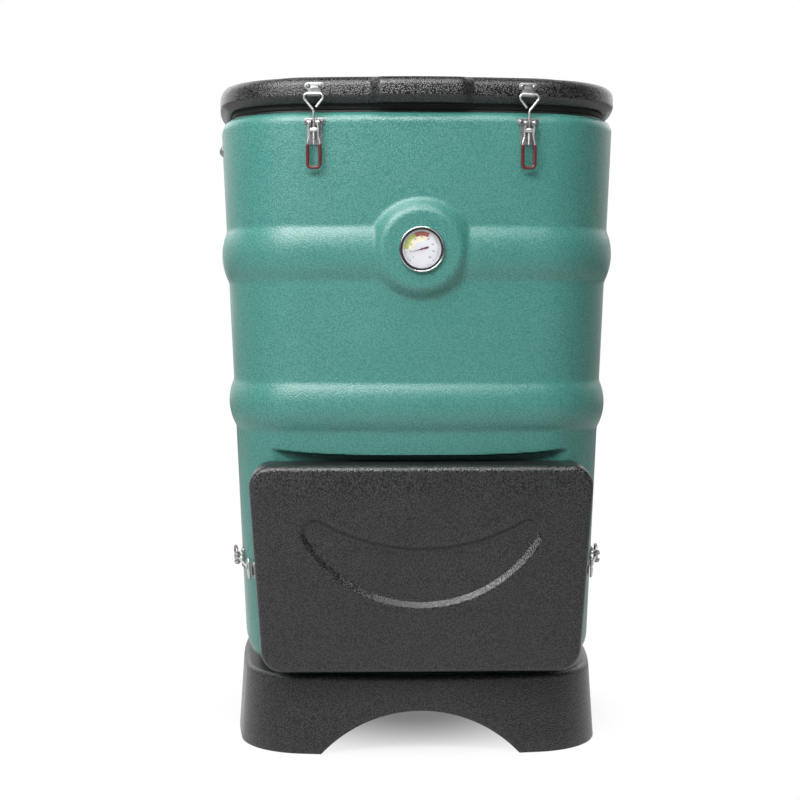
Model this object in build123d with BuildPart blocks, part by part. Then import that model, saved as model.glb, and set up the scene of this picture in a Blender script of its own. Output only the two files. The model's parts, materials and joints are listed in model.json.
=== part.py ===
from build123d import *
import os
from math import asin, atan2, cos, degrees, hypot, radians, sin, sqrt, tan

# Insulated garden compost bin, in millimetres.
# +Z is up, the front faces -Y, and the origin is on the floor under the middle of the bin.

# Outline of every level: four bowed sides joined by round corners
lid_half = 284.0
bow_radius = 1200.0
corner_share = 0.447
wall_draft = 2.85

# Base stand
base_height = 105.0
foot_inset = 28.0
deck_inset = 34.5
base_wall = 5.0
base_edge_radius = 8.0
foot_edge_radius = 2.0
foot_flange_width = 22.0
arch_chord = 266.0
arch_rise = 58.0
bolt_inset = 93.0
bolt_shank_radius = 4.0
bolt_head_radius = 7.5
bolt_head_height = 5.5
bolt_grip_in_foam = 10.0

# Body: outer shell, foam and inner liner
body_top = 857.0
lid_overhang = 1.5
body_bottom_radius = 42.0
body_shoulder_radius = 14.0
shell_wall = 4.0
wall_thickness = 50.0
floor_thickness = 45.0
liner_wall = 3.0
liner_bottom_radius = 12.0
liner_flange_inset = 16.0
rib_bulge = 8.0
rib_root = 12.0
upper_rib_low = 634.0
upper_rib_high = 705.0
lower_rib_low = 432.0
lower_rib_high = 497.0

# Thermometer on its boss
thermometer_level = 675.0
boss_face_radius = 52.0
boss_root_radius = 64.0
boss_proud = 13.0
boss_edge_radius = 7.0
bezel_radius = 30.0
bezel_window_radius = 25.5
bezel_height = 5.0
bezel_edge_radius = 2.0
case_radius = 28.0
case_depth = 9.6
case_wall = 1.0
case_floor = 1.2
dial_sunk = 2.0
dial_sheet = 0.8
glass_low = 1.6
glass_sheet = 2.0
needle_reach = 15.0
needle_tail = 9.5
needle_sheet = 0.6
needle_lift = 0.6
needle_bearing = 195.0
needle_hub_radius = 2.4
needle_half_width = 1.6
needle_tail_half = 1.2
spindle_radius = 0.8
spindle_hole_radius = 1.1
spindle_length = 6.0
stem_radius = 3.2
stem_length = 130.0
stem_tip_radius = 2.8
stem_hole_radius = 4.0
nut_radius = 9.5
nut_height = 7.0

# Hatch in the lower front
seat_depth = 25.0
seat_rise = 305.0
hatch_floor_gap = 13.0
hatch_top_gap = 18.0
hatch_top_inset = 55.0
hatch_bottom_inset = 74.0
hatch_top_radius = 27.0
hatch_bottom_radius = 30.0
hatch_proud = 34.0
hatch_edge_radius = 13.0
hatch_wall = 4.0
opening_margin = 48.0
opening_sill = 30.0
opening_head = 50.0
opening_radius = 25.0
collar_wall = 2.5
plug_clearance = 4.0
plug_depth = 22.0
seal_height = 5.0
seal_width = 14.0
seal_margin = 8.0
seal_gap = 0.3
crescent_margin = 88.5
crescent_lobe_radius = 20.0
crescent_lobe_rise = 186.0
crescent_low_rise = 86.7
crescent_middle_rise = 168.0
crescent_depth = 6.0
crescent_slope = 42.0

# Lid
lid_gap = 10.5
lid_height = 34.5
lid_bevel = 9.0
lid_top_radius = 12.0
lid_skin = 5.0
lid_cavity_inset = 13.5
lid_crown_rise = 8.0
lid_crown_inset = 44.5
lid_crown_slope = 50.0
grip_half = 55.0
grip_proud = 12.0
grip_run_out = 16.0
grip_root_inset = 1.75
grip_blend_radius = 14.0
pan_wall = 3.0
lid_plug_depth = 30.0
lid_plug_clearance = 5.0
lid_seal_overhang = 1.0
lid_seal_width = 13.0
lid_seal_round = 3.0

# Vent in the lid
vent_pocket_radius = 50.0
vent_pocket_depth = 6.0
vent_duct_radius = 36.0
vent_wall = 3.0
vent_hole_ring = 24.0
vent_hole_radius = 6.0
vent_hole_count = 6
vent_pin_radius = 4.0
shutter_radius = 40.0
shutter_sheet = 3.0
shutter_gap = 0.2
shutter_bar_length = 54.0
shutter_bar_width = 13.0
shutter_bar_height = 5.0

# Rear hinges
hinge_share = 0.915
hinge_width = 60.0
hinge_leaf = 2.5
hinge_knuckle_radius = 5.0
hinge_pin_radius = 2.5
hinge_rise = 5.0
hinge_centre_width = 24.0
hinge_knuckle_gap = 0.3
hinge_lid_pad_inset = 2.5
hinge_body_pad_inset = 3.5
hinge_pad_margin = 3.0
hinge_lid_leaf_gap = 1.0
hinge_lid_leaf_height = 28.5
hinge_body_leaf_drop = 10.0
hinge_body_leaf_height = 35.0
hinge_screw_spacing = 38.0

# Toggle latches, drawn with the lever's pivot over the origin and the keeper towards +Y
running_clearance = 0.05
latch_wire_radius = 1.6
pivot_height = 9.5
trunnion_drop = 9.2
trunnion_height = 8.5
bracket_plate = 1.5
bracket_width = 12.0
bracket_tail = 20.0
bracket_ear_row = 2.4
bracket_ear_radius = 4.6
bracket_screw_spacing = 19.6
lug_inside = 3.0
lug_sheet = 1.6
lug_radius = 4.2
pivot_pin_radius = 2.0
cheek_gap = 0.3
cheek_sheet = 2.2
cheek_radius = 4.0
rivet_head_radius = 2.8
rivet_head_height = 1.0
lever_length = 58.7
lever_neck = 18.0
lever_splay = 26.0
lever_bend_radius = 5.0
leg_end_gap = 0.5
grip_leg_half = 8.2
grip_start = 28.5
grip_radius = 2.3
trunnion_radius = 2.0
trunnion_barrel_radius = 3.2
bail_tail = 19.0
bail_loop_length = 21.7
bail_loop_half = 17.5
bail_corner_radius = 4.5
bail_neck_radius = 6.0
bail_butt_gap = 0.4
keeper_plate = 1.5
keeper_width = 17.0
keeper_screw_row = 11.3
keeper_screw_spacing = 16.2
keeper_ear_radius = 4.8
hook_channel_radius = 1.8
hook_lip_rise = 2.6
bail_stand_off = 1.0
screw_head_radius = 3.2
screw_head_height = 2.5
screw_shank_radius = 1.5
screw_tip_gap = 0.3

# Places of the latches
lid_latch_share = 0.497
lid_latch_drop = 16.0
lid_hook_rise = 11.0
hatch_latch_share = 0.528
hatch_hook_row = -4.0
hatch_hook_depth = 28.0

# Inside the bin
grate_leg_height = 16.0
grate_sheet = 4.0
grate_clearance = 4.0
grate_leg_radius = 7.0
grate_leg_share = 0.617
grate_slot_bridge = 16.0
grate_slot_width = 9.0
grate_column_share = 0.309
grate_row_share = 0.1235
grate_slot_columns = 5
grate_slot_rows = 13
inlet_radius = 25.0
inlet_wall = 3.0
inlet_flange_radius = 33.0
inlet_flange_sheet = 3.0
inlet_rise = 8.0
inlet_drop = 6.0
mesh_sheet = 1.5
mesh_hole_radius = 2.0
mesh_ring_pitch = 6.5

# Foam port plug on the left side
port_drop = 38.0
port_angle = 6.0
port_dome_radius = 8.0
port_dome_height = 5.0
port_shank_radius = 3.0

# Sizes and places that follow from the sizes above
body_top_half = lid_half - lid_overhang
corner_radius = corner_share * lid_half
base_foot_half = lid_half - foot_inset
base_deck_half = lid_half - deck_inset
bolt_spacing = 2 * (base_deck_half - bolt_inset)
hatch_top_half = lid_half - hatch_top_inset
hatch_bottom_half = lid_half - hatch_bottom_inset
opening_width = 2 * (hatch_bottom_half - opening_margin)
opening_height = seat_rise - floor_thickness - opening_sill - opening_head
crescent_lobe_spacing = 2 * (hatch_top_half - crescent_margin)
seat_top = base_height + seat_rise
hatch_low = base_height + hatch_floor_gap
hatch_high = seat_top - hatch_top_gap
lid_bottom = body_top + lid_gap
lid_top = lid_bottom + lid_height
lid_crown_half = lid_half - lid_crown_inset
lid_seal_half = body_top_half - liner_flange_inset + lid_seal_overhang
lid_latch_x = lid_latch_share * lid_half
lid_latch_pivot_level = body_top - lid_latch_drop
lid_hook_level = lid_bottom + lid_hook_rise
hatch_latch_pivot_y = hatch_latch_share * lid_half
hinge_spacing = hinge_share * lid_half
hinge_level = body_top + hinge_rise
hinge_lid_pad_y = lid_half - hinge_lid_pad_inset
hinge_body_pad_y = body_top_half - hinge_body_pad_inset
hinge_lid_leaf_low = lid_bottom + hinge_lid_leaf_gap
hinge_lid_leaf_high = hinge_lid_leaf_low + hinge_lid_leaf_height
hinge_body_leaf_high = body_top - hinge_body_leaf_drop
hinge_body_leaf_low = hinge_body_leaf_high - hinge_body_leaf_height
port_level = body_top - port_drop
bow_shift = bow_radius - lid_half
corner_shift = lid_half - corner_radius
corner_reach = bow_radius - corner_radius
corner_centre = (sqrt(2 * corner_reach**2 - bow_shift**2) - bow_shift) / 2
bow_angle = degrees(atan2(corner_centre, corner_centre + bow_shift))
draft_slope = tan(radians(wall_draft))
draft_cos = cos(radians(wall_draft))
draft_sin = sin(radians(wall_draft))
liner_inset = wall_thickness - liner_wall
liner_floor = base_height + floor_thickness
liner_floor_top = liner_floor + liner_wall
grate_level = liner_floor_top + grate_leg_height
opening_middle = liner_floor + opening_sill + opening_height / 2
liner_rim_top = body_top + liner_wall
cheek_inside = lug_inside + lug_sheet + cheek_gap
cheek_middle = cheek_inside + cheek_sheet / 2
hook_lip_outside = 2 * keeper_plate + 2 * hook_channel_radius


def half_at(level):
    """Half the body's width at a level, at the middle of a side."""
    return body_top_half - (body_top - level) * draft_slope


def plan(half, level):
    """The bowed square outline, as a face at one level."""
    with BuildSketch(Plane.XY.offset(level)) as outline:
        with BuildLine():
            for turn in (0, 90, 180, 270):
                bow_middle = Vector(-bow_shift, 0).rotate(Axis.Z, turn)
                CenterArc(bow_middle, half + bow_shift, turn - bow_angle, 2 * bow_angle)
                corner_middle = Vector(corner_centre, corner_centre).rotate(Axis.Z, turn)
                CenterArc(corner_middle, half - corner_shift, turn + bow_angle, 90 - 2 * bow_angle)
        make_face()
    return outline.sketch


def drafted_block(inset, low, high, bottom_radius, shoulder_radius=0):
    """Solid between two levels whose sides lie a wall's thickness inside the body's sides."""
    with BuildPart() as block:
        extrude(plan(half_at(low) - inset, low), amount=high - low, taper=-wall_draft)
        fillet(block.faces().sort_by(Axis.Z)[0].outer_wire().edges(), bottom_radius)
        if shoulder_radius:
            fillet(block.faces().sort_by(Axis.Z)[-1].outer_wire().edges(), shoulder_radius)
    return block.part


def rib_band(low, high):
    """Ring round the body with a face that bulges as a circular arc between two levels."""
    middle = (low + high) / 2
    bow_part = (Vector(-bow_shift, 0), -bow_angle, 2 * bow_angle, bow_shift)
    corner_part = (Vector(corner_centre, corner_centre), bow_angle, 90 - 2 * bow_angle, -corner_shift)
    with BuildPart() as band:
        for turn in (0, 90, 180, 270):
            for middle_point, start, arc, shift in (bow_part, corner_part):
                spot = middle_point.rotate(Axis.Z, turn)
                bearing = radians(turn + start)
                section = Plane(
                    origin=spot,
                    x_dir=(cos(bearing), sin(bearing), 0),
                    z_dir=(sin(bearing), -cos(bearing), 0),
                )
                with BuildSketch(section) as profile:
                    with BuildLine():
                        face_arc = ThreePointArc(
                            (half_at(low) + shift, low),
                            (half_at(middle) + shift + rib_bulge, middle),
                            (half_at(high) + shift, high),
                        )
                        Polyline(
                            face_arc @ 1,
                            (half_at(high) + shift - rib_root, high),
                            (half_at(low) + shift - rib_root, low),
                            face_arc @ 0,
                        )
                    make_face()
                revolve(profile.sketch, axis=Axis(spot, (0, 0, 1)), revolution_arc=arc)
    return band.part


def wall_plane(outward, upward, origin):
    """Working plane on a wall: Z out of the wall, Y along the given direction."""
    return Plane(origin=origin, x_dir=upward.cross(outward), z_dir=outward)


def pan_head_screw(shank_length):
    """Dome-headed screw with the underside of its head at the origin and its shank along -Z."""
    dome_radius = (screw_head_radius**2 + screw_head_height**2) / (2 * screw_head_height)
    dome_low = degrees(atan2(dome_radius - screw_head_height, screw_head_radius))
    with BuildPart() as screw:
        with BuildSketch(Plane.XZ):
            with BuildLine():
                dome = CenterArc((0, screw_head_height - dome_radius), dome_radius, dome_low, 90 - dome_low)
                Polyline(
                    dome @ 1,
                    (0, -shank_length),
                    (screw_shank_radius, -shank_length),
                    (screw_shank_radius, 0),
                    dome @ 0,
                )
            make_face()
        revolve(axis=Axis.Z)
    return screw.part


def finish(piece, name):
    """Labels a piece and writes it as its own file."""
    piece.label = name
    export_step(piece, f"parts/{name}.step")


# Working planes of the hatch, the thermometer and the foam port
front_normal = Vector(0, -draft_cos, -draft_sin)
hatch_middle = (hatch_low + hatch_high) / 2
hatch_tall = (hatch_high - hatch_low) / draft_cos
hatch_plane = Plane(
    origin=(0, seat_depth - half_at(hatch_middle), hatch_middle), x_dir=(1, 0, 0), z_dir=front_normal
)
hatch_front = seat_depth + hatch_proud
opening_row = (opening_middle - hatch_middle) / draft_cos
boss_plane = Plane(
    origin=(0, -half_at(thermometer_level), thermometer_level), x_dir=(1, 0, 0), z_dir=front_normal
)
dial_plane = boss_plane.offset(boss_proud)
dial_axis = Axis(dial_plane.origin, dial_plane.z_dir)
port_bearing = radians(180 + port_angle)
port_out = Vector(cos(port_bearing), sin(port_bearing), 0)
port_reach = half_at(port_level) + bow_shift
port_plane = wall_plane(
    port_out * draft_cos - Vector(0, 0, draft_sin),
    port_out * draft_sin + Vector(0, 0, draft_cos),
    Vector(bow_shift, 0, port_level) + port_out * port_reach,
)


def lid_latch_planes(side):
    """Planes of a lid latch: on the body's front under the lever's pivot, and on the lid's rim."""
    pivot_reach = half_at(lid_latch_pivot_level) + bow_shift
    bearing = asin(side * lid_latch_x / pivot_reach)
    outward = Vector(sin(bearing), -cos(bearing), 0)
    body_plane = wall_plane(
        outward * draft_cos - Vector(0, 0, draft_sin),
        outward * draft_sin + Vector(0, 0, draft_cos),
        Vector(0, bow_shift, lid_latch_pivot_level) + outward * pivot_reach,
    )
    rim_plane = wall_plane(
        outward, Vector(0, 0, 1), Vector(0, bow_shift, lid_hook_level) + outward * (lid_half + bow_shift)
    )
    return body_plane, rim_plane


def hatch_latch_planes(side):
    """Planes of a hatch latch: on the body's side under the lever's pivot, and on the hatch's edge."""
    lean = (hatch_top_half - hatch_bottom_half) / hatch_tall
    edge_half = (hatch_top_half + hatch_bottom_half) / 2 + hatch_hook_row * lean
    across = (hatch_plane.x_dir * side - hatch_plane.y_dir * lean).normalized()
    edge_plane = wall_plane(
        across,
        hatch_plane.z_dir,
        hatch_plane.from_local_coords(Vector(side * edge_half, hatch_hook_row, hatch_hook_depth)),
    )
    level = edge_plane.origin.Z
    pivot_reach = half_at(level) + bow_shift
    bearing = asin(hatch_latch_pivot_y / pivot_reach)
    outward = Vector(side * cos(bearing), -sin(bearing), 0)
    forward = Vector(-side * sin(bearing), -cos(bearing), 0)
    body_plane = wall_plane(
        outward * draft_cos - Vector(0, 0, draft_sin),
        forward,
        Vector(-side * bow_shift, 0, level) + outward * pivot_reach,
    )
    return body_plane, edge_plane


latch_planes = {
    "lid_latch_left": lid_latch_planes(-1),
    "lid_latch_right": lid_latch_planes(1),
    "hatch_latch_left": hatch_latch_planes(-1),
    "hatch_latch_right": hatch_latch_planes(1),
}


def screw_spots(plane, spacing, row, seat):
    """Places of a pair of screws whose heads sit on a plate."""
    return [
        plane.location * Location((side * spacing / 2, row, seat)) for side in (-1, 1)
    ]


bracket_screw_spots = [
    spot
    for body_plane, _ in latch_planes.values()
    for spot in screw_spots(body_plane, bracket_screw_spacing, bracket_ear_row, bracket_plate)
]
lid_keeper_screw_spots = [
    spot
    for name in ("lid_latch_left", "lid_latch_right")
    for spot in screw_spots(latch_planes[name][1], keeper_screw_spacing, keeper_screw_row, keeper_plate)
]
hatch_keeper_screw_spots = [
    spot
    for name in ("hatch_latch_left", "hatch_latch_right")
    for spot in screw_spots(latch_planes[name][1], keeper_screw_spacing, keeper_screw_row, keeper_plate)
]
hinge_middles = (-hinge_spacing / 2, hinge_spacing / 2)


def hinge_screw_spots(seat_y, level):
    """Places of the hinge screws on one row of leaves, with their heads towards +Y."""
    back = Plane(origin=(0, seat_y, level), x_dir=(-1, 0, 0), z_dir=(0, 1, 0))
    return [
        back.location * Location((middle + side * hinge_screw_spacing / 2, 0, 0))
        for middle in hinge_middles
        for side in (-1, 1)
    ]


hinge_lid_screw_spots = hinge_screw_spots(
    hinge_lid_pad_y + hinge_leaf, (hinge_lid_leaf_low + hinge_lid_leaf_high) / 2
)
hinge_body_screw_spots = hinge_screw_spots(
    hinge_body_pad_y + hinge_leaf, (hinge_body_leaf_low + hinge_body_leaf_high) / 2
)
bracket_screw_length = bracket_plate + shell_wall - screw_tip_gap
keeper_screw_length = keeper_plate + hatch_wall - screw_tip_gap
hinge_screw_length = hinge_leaf + shell_wall - screw_tip_gap

os.makedirs("parts", exist_ok=True)

# Base stand: a hollow plinth that flares to the floor, with an arch at the front and the back
base_flare = degrees(atan2(base_foot_half - base_deck_half, base_height))
arch_radius = ((arch_chord / 2) ** 2 + arch_rise**2) / (2 * arch_rise)
with BuildPart() as base_stand:
    extrude(plan(base_foot_half, 0), amount=base_height, taper=base_flare)
    fillet(base_stand.faces().sort_by(Axis.Z)[-1].outer_wire().edges(), base_edge_radius)
    fillet(base_stand.faces().sort_by(Axis.Z)[0].outer_wire().edges(), foot_edge_radius)
    with BuildSketch(Plane.XZ):
        with Locations((0, arch_rise - arch_radius)):
            Circle(arch_radius)
        Rectangle(2 * base_foot_half, 2 * arch_rise, mode=Mode.INTERSECT)
    extrude(amount=2 * base_foot_half, both=True, mode=Mode.SUBTRACT)
    hollow_half = base_foot_half - base_wall - base_wall * tan(radians(base_flare))
    extrude(
        plan(hollow_half, base_wall),
        amount=base_height - 2 * base_wall,
        taper=base_flare,
        mode=Mode.SUBTRACT,
    )
    extrude(plan(base_foot_half - foot_flange_width, 0), amount=base_wall, mode=Mode.SUBTRACT)
    with BuildSketch(Plane.XY.offset(base_height)):
        Circle(inlet_radius)
        with GridLocations(bolt_spacing, bolt_spacing, 2, 2):
            Circle(bolt_shank_radius)
    extrude(amount=-2 * base_wall, mode=Mode.SUBTRACT)
finish(base_stand.part, "base_stand")

with BuildPart() as base_bolts:
    with BuildSketch(Plane.XY.offset(base_height - base_wall)):
        with GridLocations(bolt_spacing, bolt_spacing, 2, 2):
            RegularPolygon(bolt_head_radius, 6)
    extrude(amount=-bolt_head_height)
    with BuildSketch(Plane.XY.offset(base_height - base_wall)):
        with GridLocations(bolt_spacing, bolt_spacing, 2, 2):
            Circle(bolt_shank_radius)
    extrude(amount=base_wall + shell_wall + bolt_grip_in_foam)
finish(base_bolts.part, "base_bolts")

# Space for the foam inside the shell, and the liner's outside, which both pieces are cut by
foam_low = base_height + shell_wall
foam_high = body_top - shell_wall
with BuildPart() as foam_space:
    foam_bottom_radius = body_bottom_radius - shell_wall
    foam_shoulder_radius = body_shoulder_radius - shell_wall
    add(drafted_block(shell_wall, foam_low, foam_high, foam_bottom_radius, foam_shoulder_radius))
    with BuildSketch(hatch_plane.offset(-shell_wall)):
        with Locations((0, (seat_top - hatch_middle) / draft_cos + shell_wall - body_top / 2)):
            Rectangle(2 * body_top_half, body_top)
    extrude(amount=seat_depth * 2, mode=Mode.SUBTRACT)
liner_outside = drafted_block(liner_inset, liner_floor, body_top, liner_bottom_radius + liner_wall)
liner_inside = drafted_block(wall_thickness, liner_floor + liner_wall, liner_rim_top, liner_bottom_radius)
with BuildPart() as hatch_way:
    with BuildSketch(hatch_plane):
        with Locations((0, opening_row)):
            RectangleRounded(opening_width, opening_height, opening_radius)
    extrude(amount=-2 * wall_thickness)
with BuildPart() as stem_way:
    with BuildSketch(dial_plane):
        Circle(stem_hole_radius)
    extrude(amount=-(boss_proud + 2 * wall_thickness))
with BuildPart() as inlet_way:
    with BuildSketch():
        Circle(inlet_radius)
    extrude(amount=2 * liner_floor)
with BuildPart() as bolt_ways:
    with BuildSketch(Plane.XY.offset(base_height)):
        with GridLocations(bolt_spacing, bolt_spacing, 2, 2):
            Circle(bolt_shank_radius)
    extrude(amount=shell_wall + bolt_grip_in_foam)

# Outer shell: drafted and bowed, with two ribs, a thermometer boss and a flat seat for the hatch
with BuildPart() as outer_shell:
    add(drafted_block(0, base_height, body_top, body_bottom_radius, body_shoulder_radius))
    add(rib_band(upper_rib_low, upper_rib_high))
    add(rib_band(lower_rib_low, lower_rib_high))
    with BuildPart(mode=Mode.PRIVATE) as boss:
        boss_slope = (boss_root_radius - boss_face_radius) / boss_proud
        with Locations(boss_plane.offset(-rib_root)):
            Cone(
                boss_root_radius + boss_slope * rib_root,
                boss_face_radius,
                boss_proud + rib_root,
                align=(Align.CENTER, Align.CENTER, Align.MIN),
            )
        boss_rim = boss.edges().filter_by(GeomType.CIRCLE).sort_by(Edge.radius)[0]
        fillet(boss_rim, boss_edge_radius)
    add(boss.part)
    for middle in hinge_middles:
        pad_low = hinge_body_leaf_low - hinge_pad_margin
        pad_high = hinge_body_leaf_high + hinge_pad_margin
        with Locations((middle, hinge_body_pad_y, pad_low)):
            Box(
                hinge_width + 2 * hinge_pad_margin,
                wall_thickness / 2,
                pad_high - pad_low,
                align=(Align.CENTER, Align.MAX, Align.MIN),
            )
    with BuildSketch(hatch_plane):
        with Locations((0, (seat_top - hatch_middle) / draft_cos - body_top / 2)):
            Rectangle(2 * body_top_half, body_top)
    extrude(amount=seat_depth * 2, mode=Mode.SUBTRACT)
    add(foam_space.part, mode=Mode.SUBTRACT)
    add(liner_outside, mode=Mode.SUBTRACT)
    add(hatch_way.part, mode=Mode.SUBTRACT)
    add(stem_way.part, mode=Mode.SUBTRACT)
    add(inlet_way.part, mode=Mode.SUBTRACT)
    add(bolt_ways.part, mode=Mode.SUBTRACT)
    with BuildSketch(dial_plane):
        Circle(case_radius)
    extrude(amount=-case_depth, mode=Mode.SUBTRACT)
    with BuildSketch(port_plane):
        Circle(port_shank_radius)
    extrude(amount=-2 * shell_wall, mode=Mode.SUBTRACT)
    with Locations(*bracket_screw_spots):
        Cylinder(
            screw_shank_radius, bracket_screw_length, align=(Align.CENTER, Align.CENTER, Align.MAX),
            mode=Mode.SUBTRACT,
        )
    with Locations(*hinge_body_screw_spots):
        Cylinder(
            screw_shank_radius, hinge_screw_length, align=(Align.CENTER, Align.CENTER, Align.MAX),
            mode=Mode.SUBTRACT,
        )
finish(outer_shell.part, "outer_shell")

with BuildPart() as wall_insulation:
    add(foam_space.part)
    add(liner_outside, mode=Mode.SUBTRACT)
    add(hatch_way.part, mode=Mode.SUBTRACT)
    add(stem_way.part, mode=Mode.SUBTRACT)
    add(inlet_way.part, mode=Mode.SUBTRACT)
    add(bolt_ways.part, mode=Mode.SUBTRACT)
finish(wall_insulation.part, "wall_insulation")

with BuildPart() as inner_liner:
    add(liner_outside)
    extrude(plan(body_top_half - liner_flange_inset, body_top), amount=liner_wall)
    add(liner_inside, mode=Mode.SUBTRACT)
    add(hatch_way.part, mode=Mode.SUBTRACT)
    add(stem_way.part, mode=Mode.SUBTRACT)
    add(inlet_way.part, mode=Mode.SUBTRACT)
finish(inner_liner.part, "inner_liner")

with BuildPart() as hatch_collar:
    add(hatch_way.part)
    with BuildSketch(hatch_plane):
        with Locations((0, opening_row)):
            RectangleRounded(
                opening_width - 2 * collar_wall,
                opening_height - 2 * collar_wall,
                opening_radius - collar_wall,
            )
    extrude(amount=-2 * wall_thickness, mode=Mode.SUBTRACT)
    add(liner_inside, mode=Mode.SUBTRACT)
finish(hatch_collar.part, "hatch_collar")

with BuildPart() as foam_port_plug:
    port_shank = shell_wall - screw_tip_gap
    with BuildSketch(port_plane):
        Circle(port_shank_radius)
    extrude(amount=-port_shank)
    dome_radius = (port_dome_radius**2 + port_dome_height**2) / (2 * port_dome_height)
    with Locations(port_plane):
        with Locations((0, 0, port_dome_height - dome_radius)):
            Sphere(dome_radius)
    split(bisect_by=port_plane.offset(-port_shank), keep=Keep.TOP)
    with BuildSketch(port_plane.offset(-port_shank)):
        Circle(2 * dome_radius)
        Circle(port_shank_radius, mode=Mode.SUBTRACT)
    extrude(amount=port_shank, mode=Mode.SUBTRACT)
finish(foam_port_plug.part, "foam_port_plug")

# Floor grate on short legs, and the air inlet that opens below it
grate_half = half_at(grate_level) - wall_thickness - grate_clearance
grate_column_pitch = grate_column_share * grate_half
grate_row_pitch = grate_row_share * grate_half
grate_leg_spacing = grate_leg_share * grate_half
with BuildPart() as floor_grate:
    extrude(plan(grate_half, grate_level), amount=grate_sheet)
    with BuildSketch(Plane.XY.offset(grate_level)):
        with GridLocations(grate_column_pitch, grate_row_pitch, grate_slot_columns, grate_slot_rows):
            SlotOverall(grate_column_pitch - grate_slot_bridge, grate_slot_width)
    extrude(amount=grate_sheet, mode=Mode.SUBTRACT)
    with BuildSketch(Plane.XY.offset(grate_level)):
        with GridLocations(grate_leg_spacing, 2 * grate_leg_spacing, 3, 2):
            Circle(grate_leg_radius)
    extrude(amount=liner_floor_top - grate_level)
finish(floor_grate.part, "floor_grate")

with BuildPart() as air_inlet_tube:
    with BuildSketch(Plane.XY.offset(base_height - inlet_drop)):
        Circle(inlet_radius)
    extrude(amount=liner_floor_top + inlet_rise - base_height + inlet_drop)
    with BuildSketch(Plane.XY.offset(liner_floor_top)):
        Circle(inlet_flange_radius)
    extrude(amount=inlet_flange_sheet)
    with BuildSketch(Plane.XY.offset(base_height - inlet_drop)):
        Circle(inlet_radius - inlet_wall)
    extrude(amount=liner_floor, mode=Mode.SUBTRACT)
finish(air_inlet_tube.part, "air_inlet_tube")

with BuildPart() as air_inlet_mesh:
    with BuildSketch(Plane.XY.offset(base_height - inlet_drop)):
        Circle(inlet_radius - inlet_wall)
        Circle(mesh_hole_radius, mode=Mode.SUBTRACT)
        for ring in (1, 2, 3):
            with PolarLocations(ring * mesh_ring_pitch, 6 * ring):
                Circle(mesh_hole_radius, mode=Mode.SUBTRACT)
    extrude(amount=mesh_sheet)
finish(air_inlet_mesh.part, "air_inlet_mesh")

# Thermometer: case in the boss, dial, needle, glass and bezel, with its stem through the wall
with BuildPart() as thermometer_case:
    with BuildSketch(dial_plane.offset(-case_depth)):
        Circle(case_radius)
    extrude(amount=case_depth + glass_low)
    with BuildSketch(dial_plane.offset(glass_low)):
        Circle(case_radius - case_wall)
    extrude(amount=-(glass_low + dial_sunk + dial_sheet), mode=Mode.SUBTRACT)
    with BuildSketch(dial_plane.offset(-dial_sunk - dial_sheet)):
        Circle(case_radius - 2 * case_wall)
    extrude(amount=-(case_depth - dial_sunk - dial_sheet - case_floor), mode=Mode.SUBTRACT)
finish(thermometer_case.part, "thermometer_case")

with BuildPart() as thermometer_dial:
    with BuildSketch(dial_plane.offset(-dial_sunk - dial_sheet)):
        Circle(case_radius - case_wall)
        Circle(spindle_hole_radius, mode=Mode.SUBTRACT)
    extrude(amount=dial_sheet)
finish(thermometer_dial.part, "thermometer_dial")

with BuildPart() as thermometer_needle:
    needle_low = needle_lift - dial_sunk
    with BuildSketch(dial_plane.offset(needle_low)):
        with BuildLine(Plane.XY.rotated((0, 0, needle_bearing))):
            Polyline(
                (needle_reach, 0),
                (0, needle_half_width),
                (-needle_tail, needle_tail_half),
                (-needle_tail, -needle_tail_half),
                (0, -needle_half_width),
                (needle_reach, 0),
            )
        make_face()
        Circle(needle_hub_radius)
    extrude(amount=needle_sheet)
    with BuildSketch(dial_plane.offset(needle_low)):
        Circle(spindle_radius)
    extrude(amount=-spindle_length)
finish(thermometer_needle.part, "thermometer_needle")

with BuildPart() as thermometer_glass:
    with BuildSketch(dial_plane.offset(glass_low)):
        Circle(case_radius)
    extrude(amount=glass_sheet)
finish(thermometer_glass.part, "thermometer_glass")

with BuildPart() as thermometer_bezel:
    with BuildSketch(dial_plane):
        Circle(bezel_radius)
    extrude(amount=bezel_height)
    fillet(thermometer_bezel.faces().sort_by(dial_axis)[-1].edges(), bezel_edge_radius)
    with BuildSketch(dial_plane):
        Circle(case_radius)
    extrude(amount=glass_low + glass_sheet, mode=Mode.SUBTRACT)
    with BuildSketch(dial_plane):
        Circle(bezel_window_radius)
    extrude(amount=bezel_height, mode=Mode.SUBTRACT)
finish(thermometer_bezel.part, "thermometer_bezel")

with BuildPart() as thermometer_stem:
    with BuildSketch(dial_plane.offset(-case_depth)):
        Circle(stem_radius)
    extrude(amount=-stem_length)
    stem_tip = thermometer_stem.edges().filter_by(GeomType.CIRCLE)
    fillet(stem_tip.sort_by(dial_axis)[0], stem_tip_radius)
finish(thermometer_stem.part, "thermometer_stem")

with BuildPart() as thermometer_nut:
    with BuildSketch(boss_plane.offset(-wall_thickness)):
        RegularPolygon(nut_radius, 6)
        Circle(stem_radius, mode=Mode.SUBTRACT)
    extrude(amount=-nut_height)
finish(thermometer_nut.part, "thermometer_nut")


def hatch_outline(inset, height):
    """The hatch's outline, narrower at the bottom, as a face at a height over the seat."""
    half_tall = hatch_tall / 2 - inset
    with BuildSketch(hatch_plane.offset(height)) as outline:
        with BuildLine():
            Polyline(
                (-hatch_top_half + inset, half_tall),
                (hatch_top_half - inset, half_tall),
                (hatch_bottom_half - inset, -half_tall),
                (-hatch_bottom_half + inset, -half_tall),
                close=True,
            )
        make_face()
        fillet(outline.vertices().group_by(Axis.Y)[-1], hatch_top_radius - inset)
        fillet(outline.vertices().group_by(Axis.Y)[0], hatch_bottom_radius - inset)
    return outline.sketch


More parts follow.
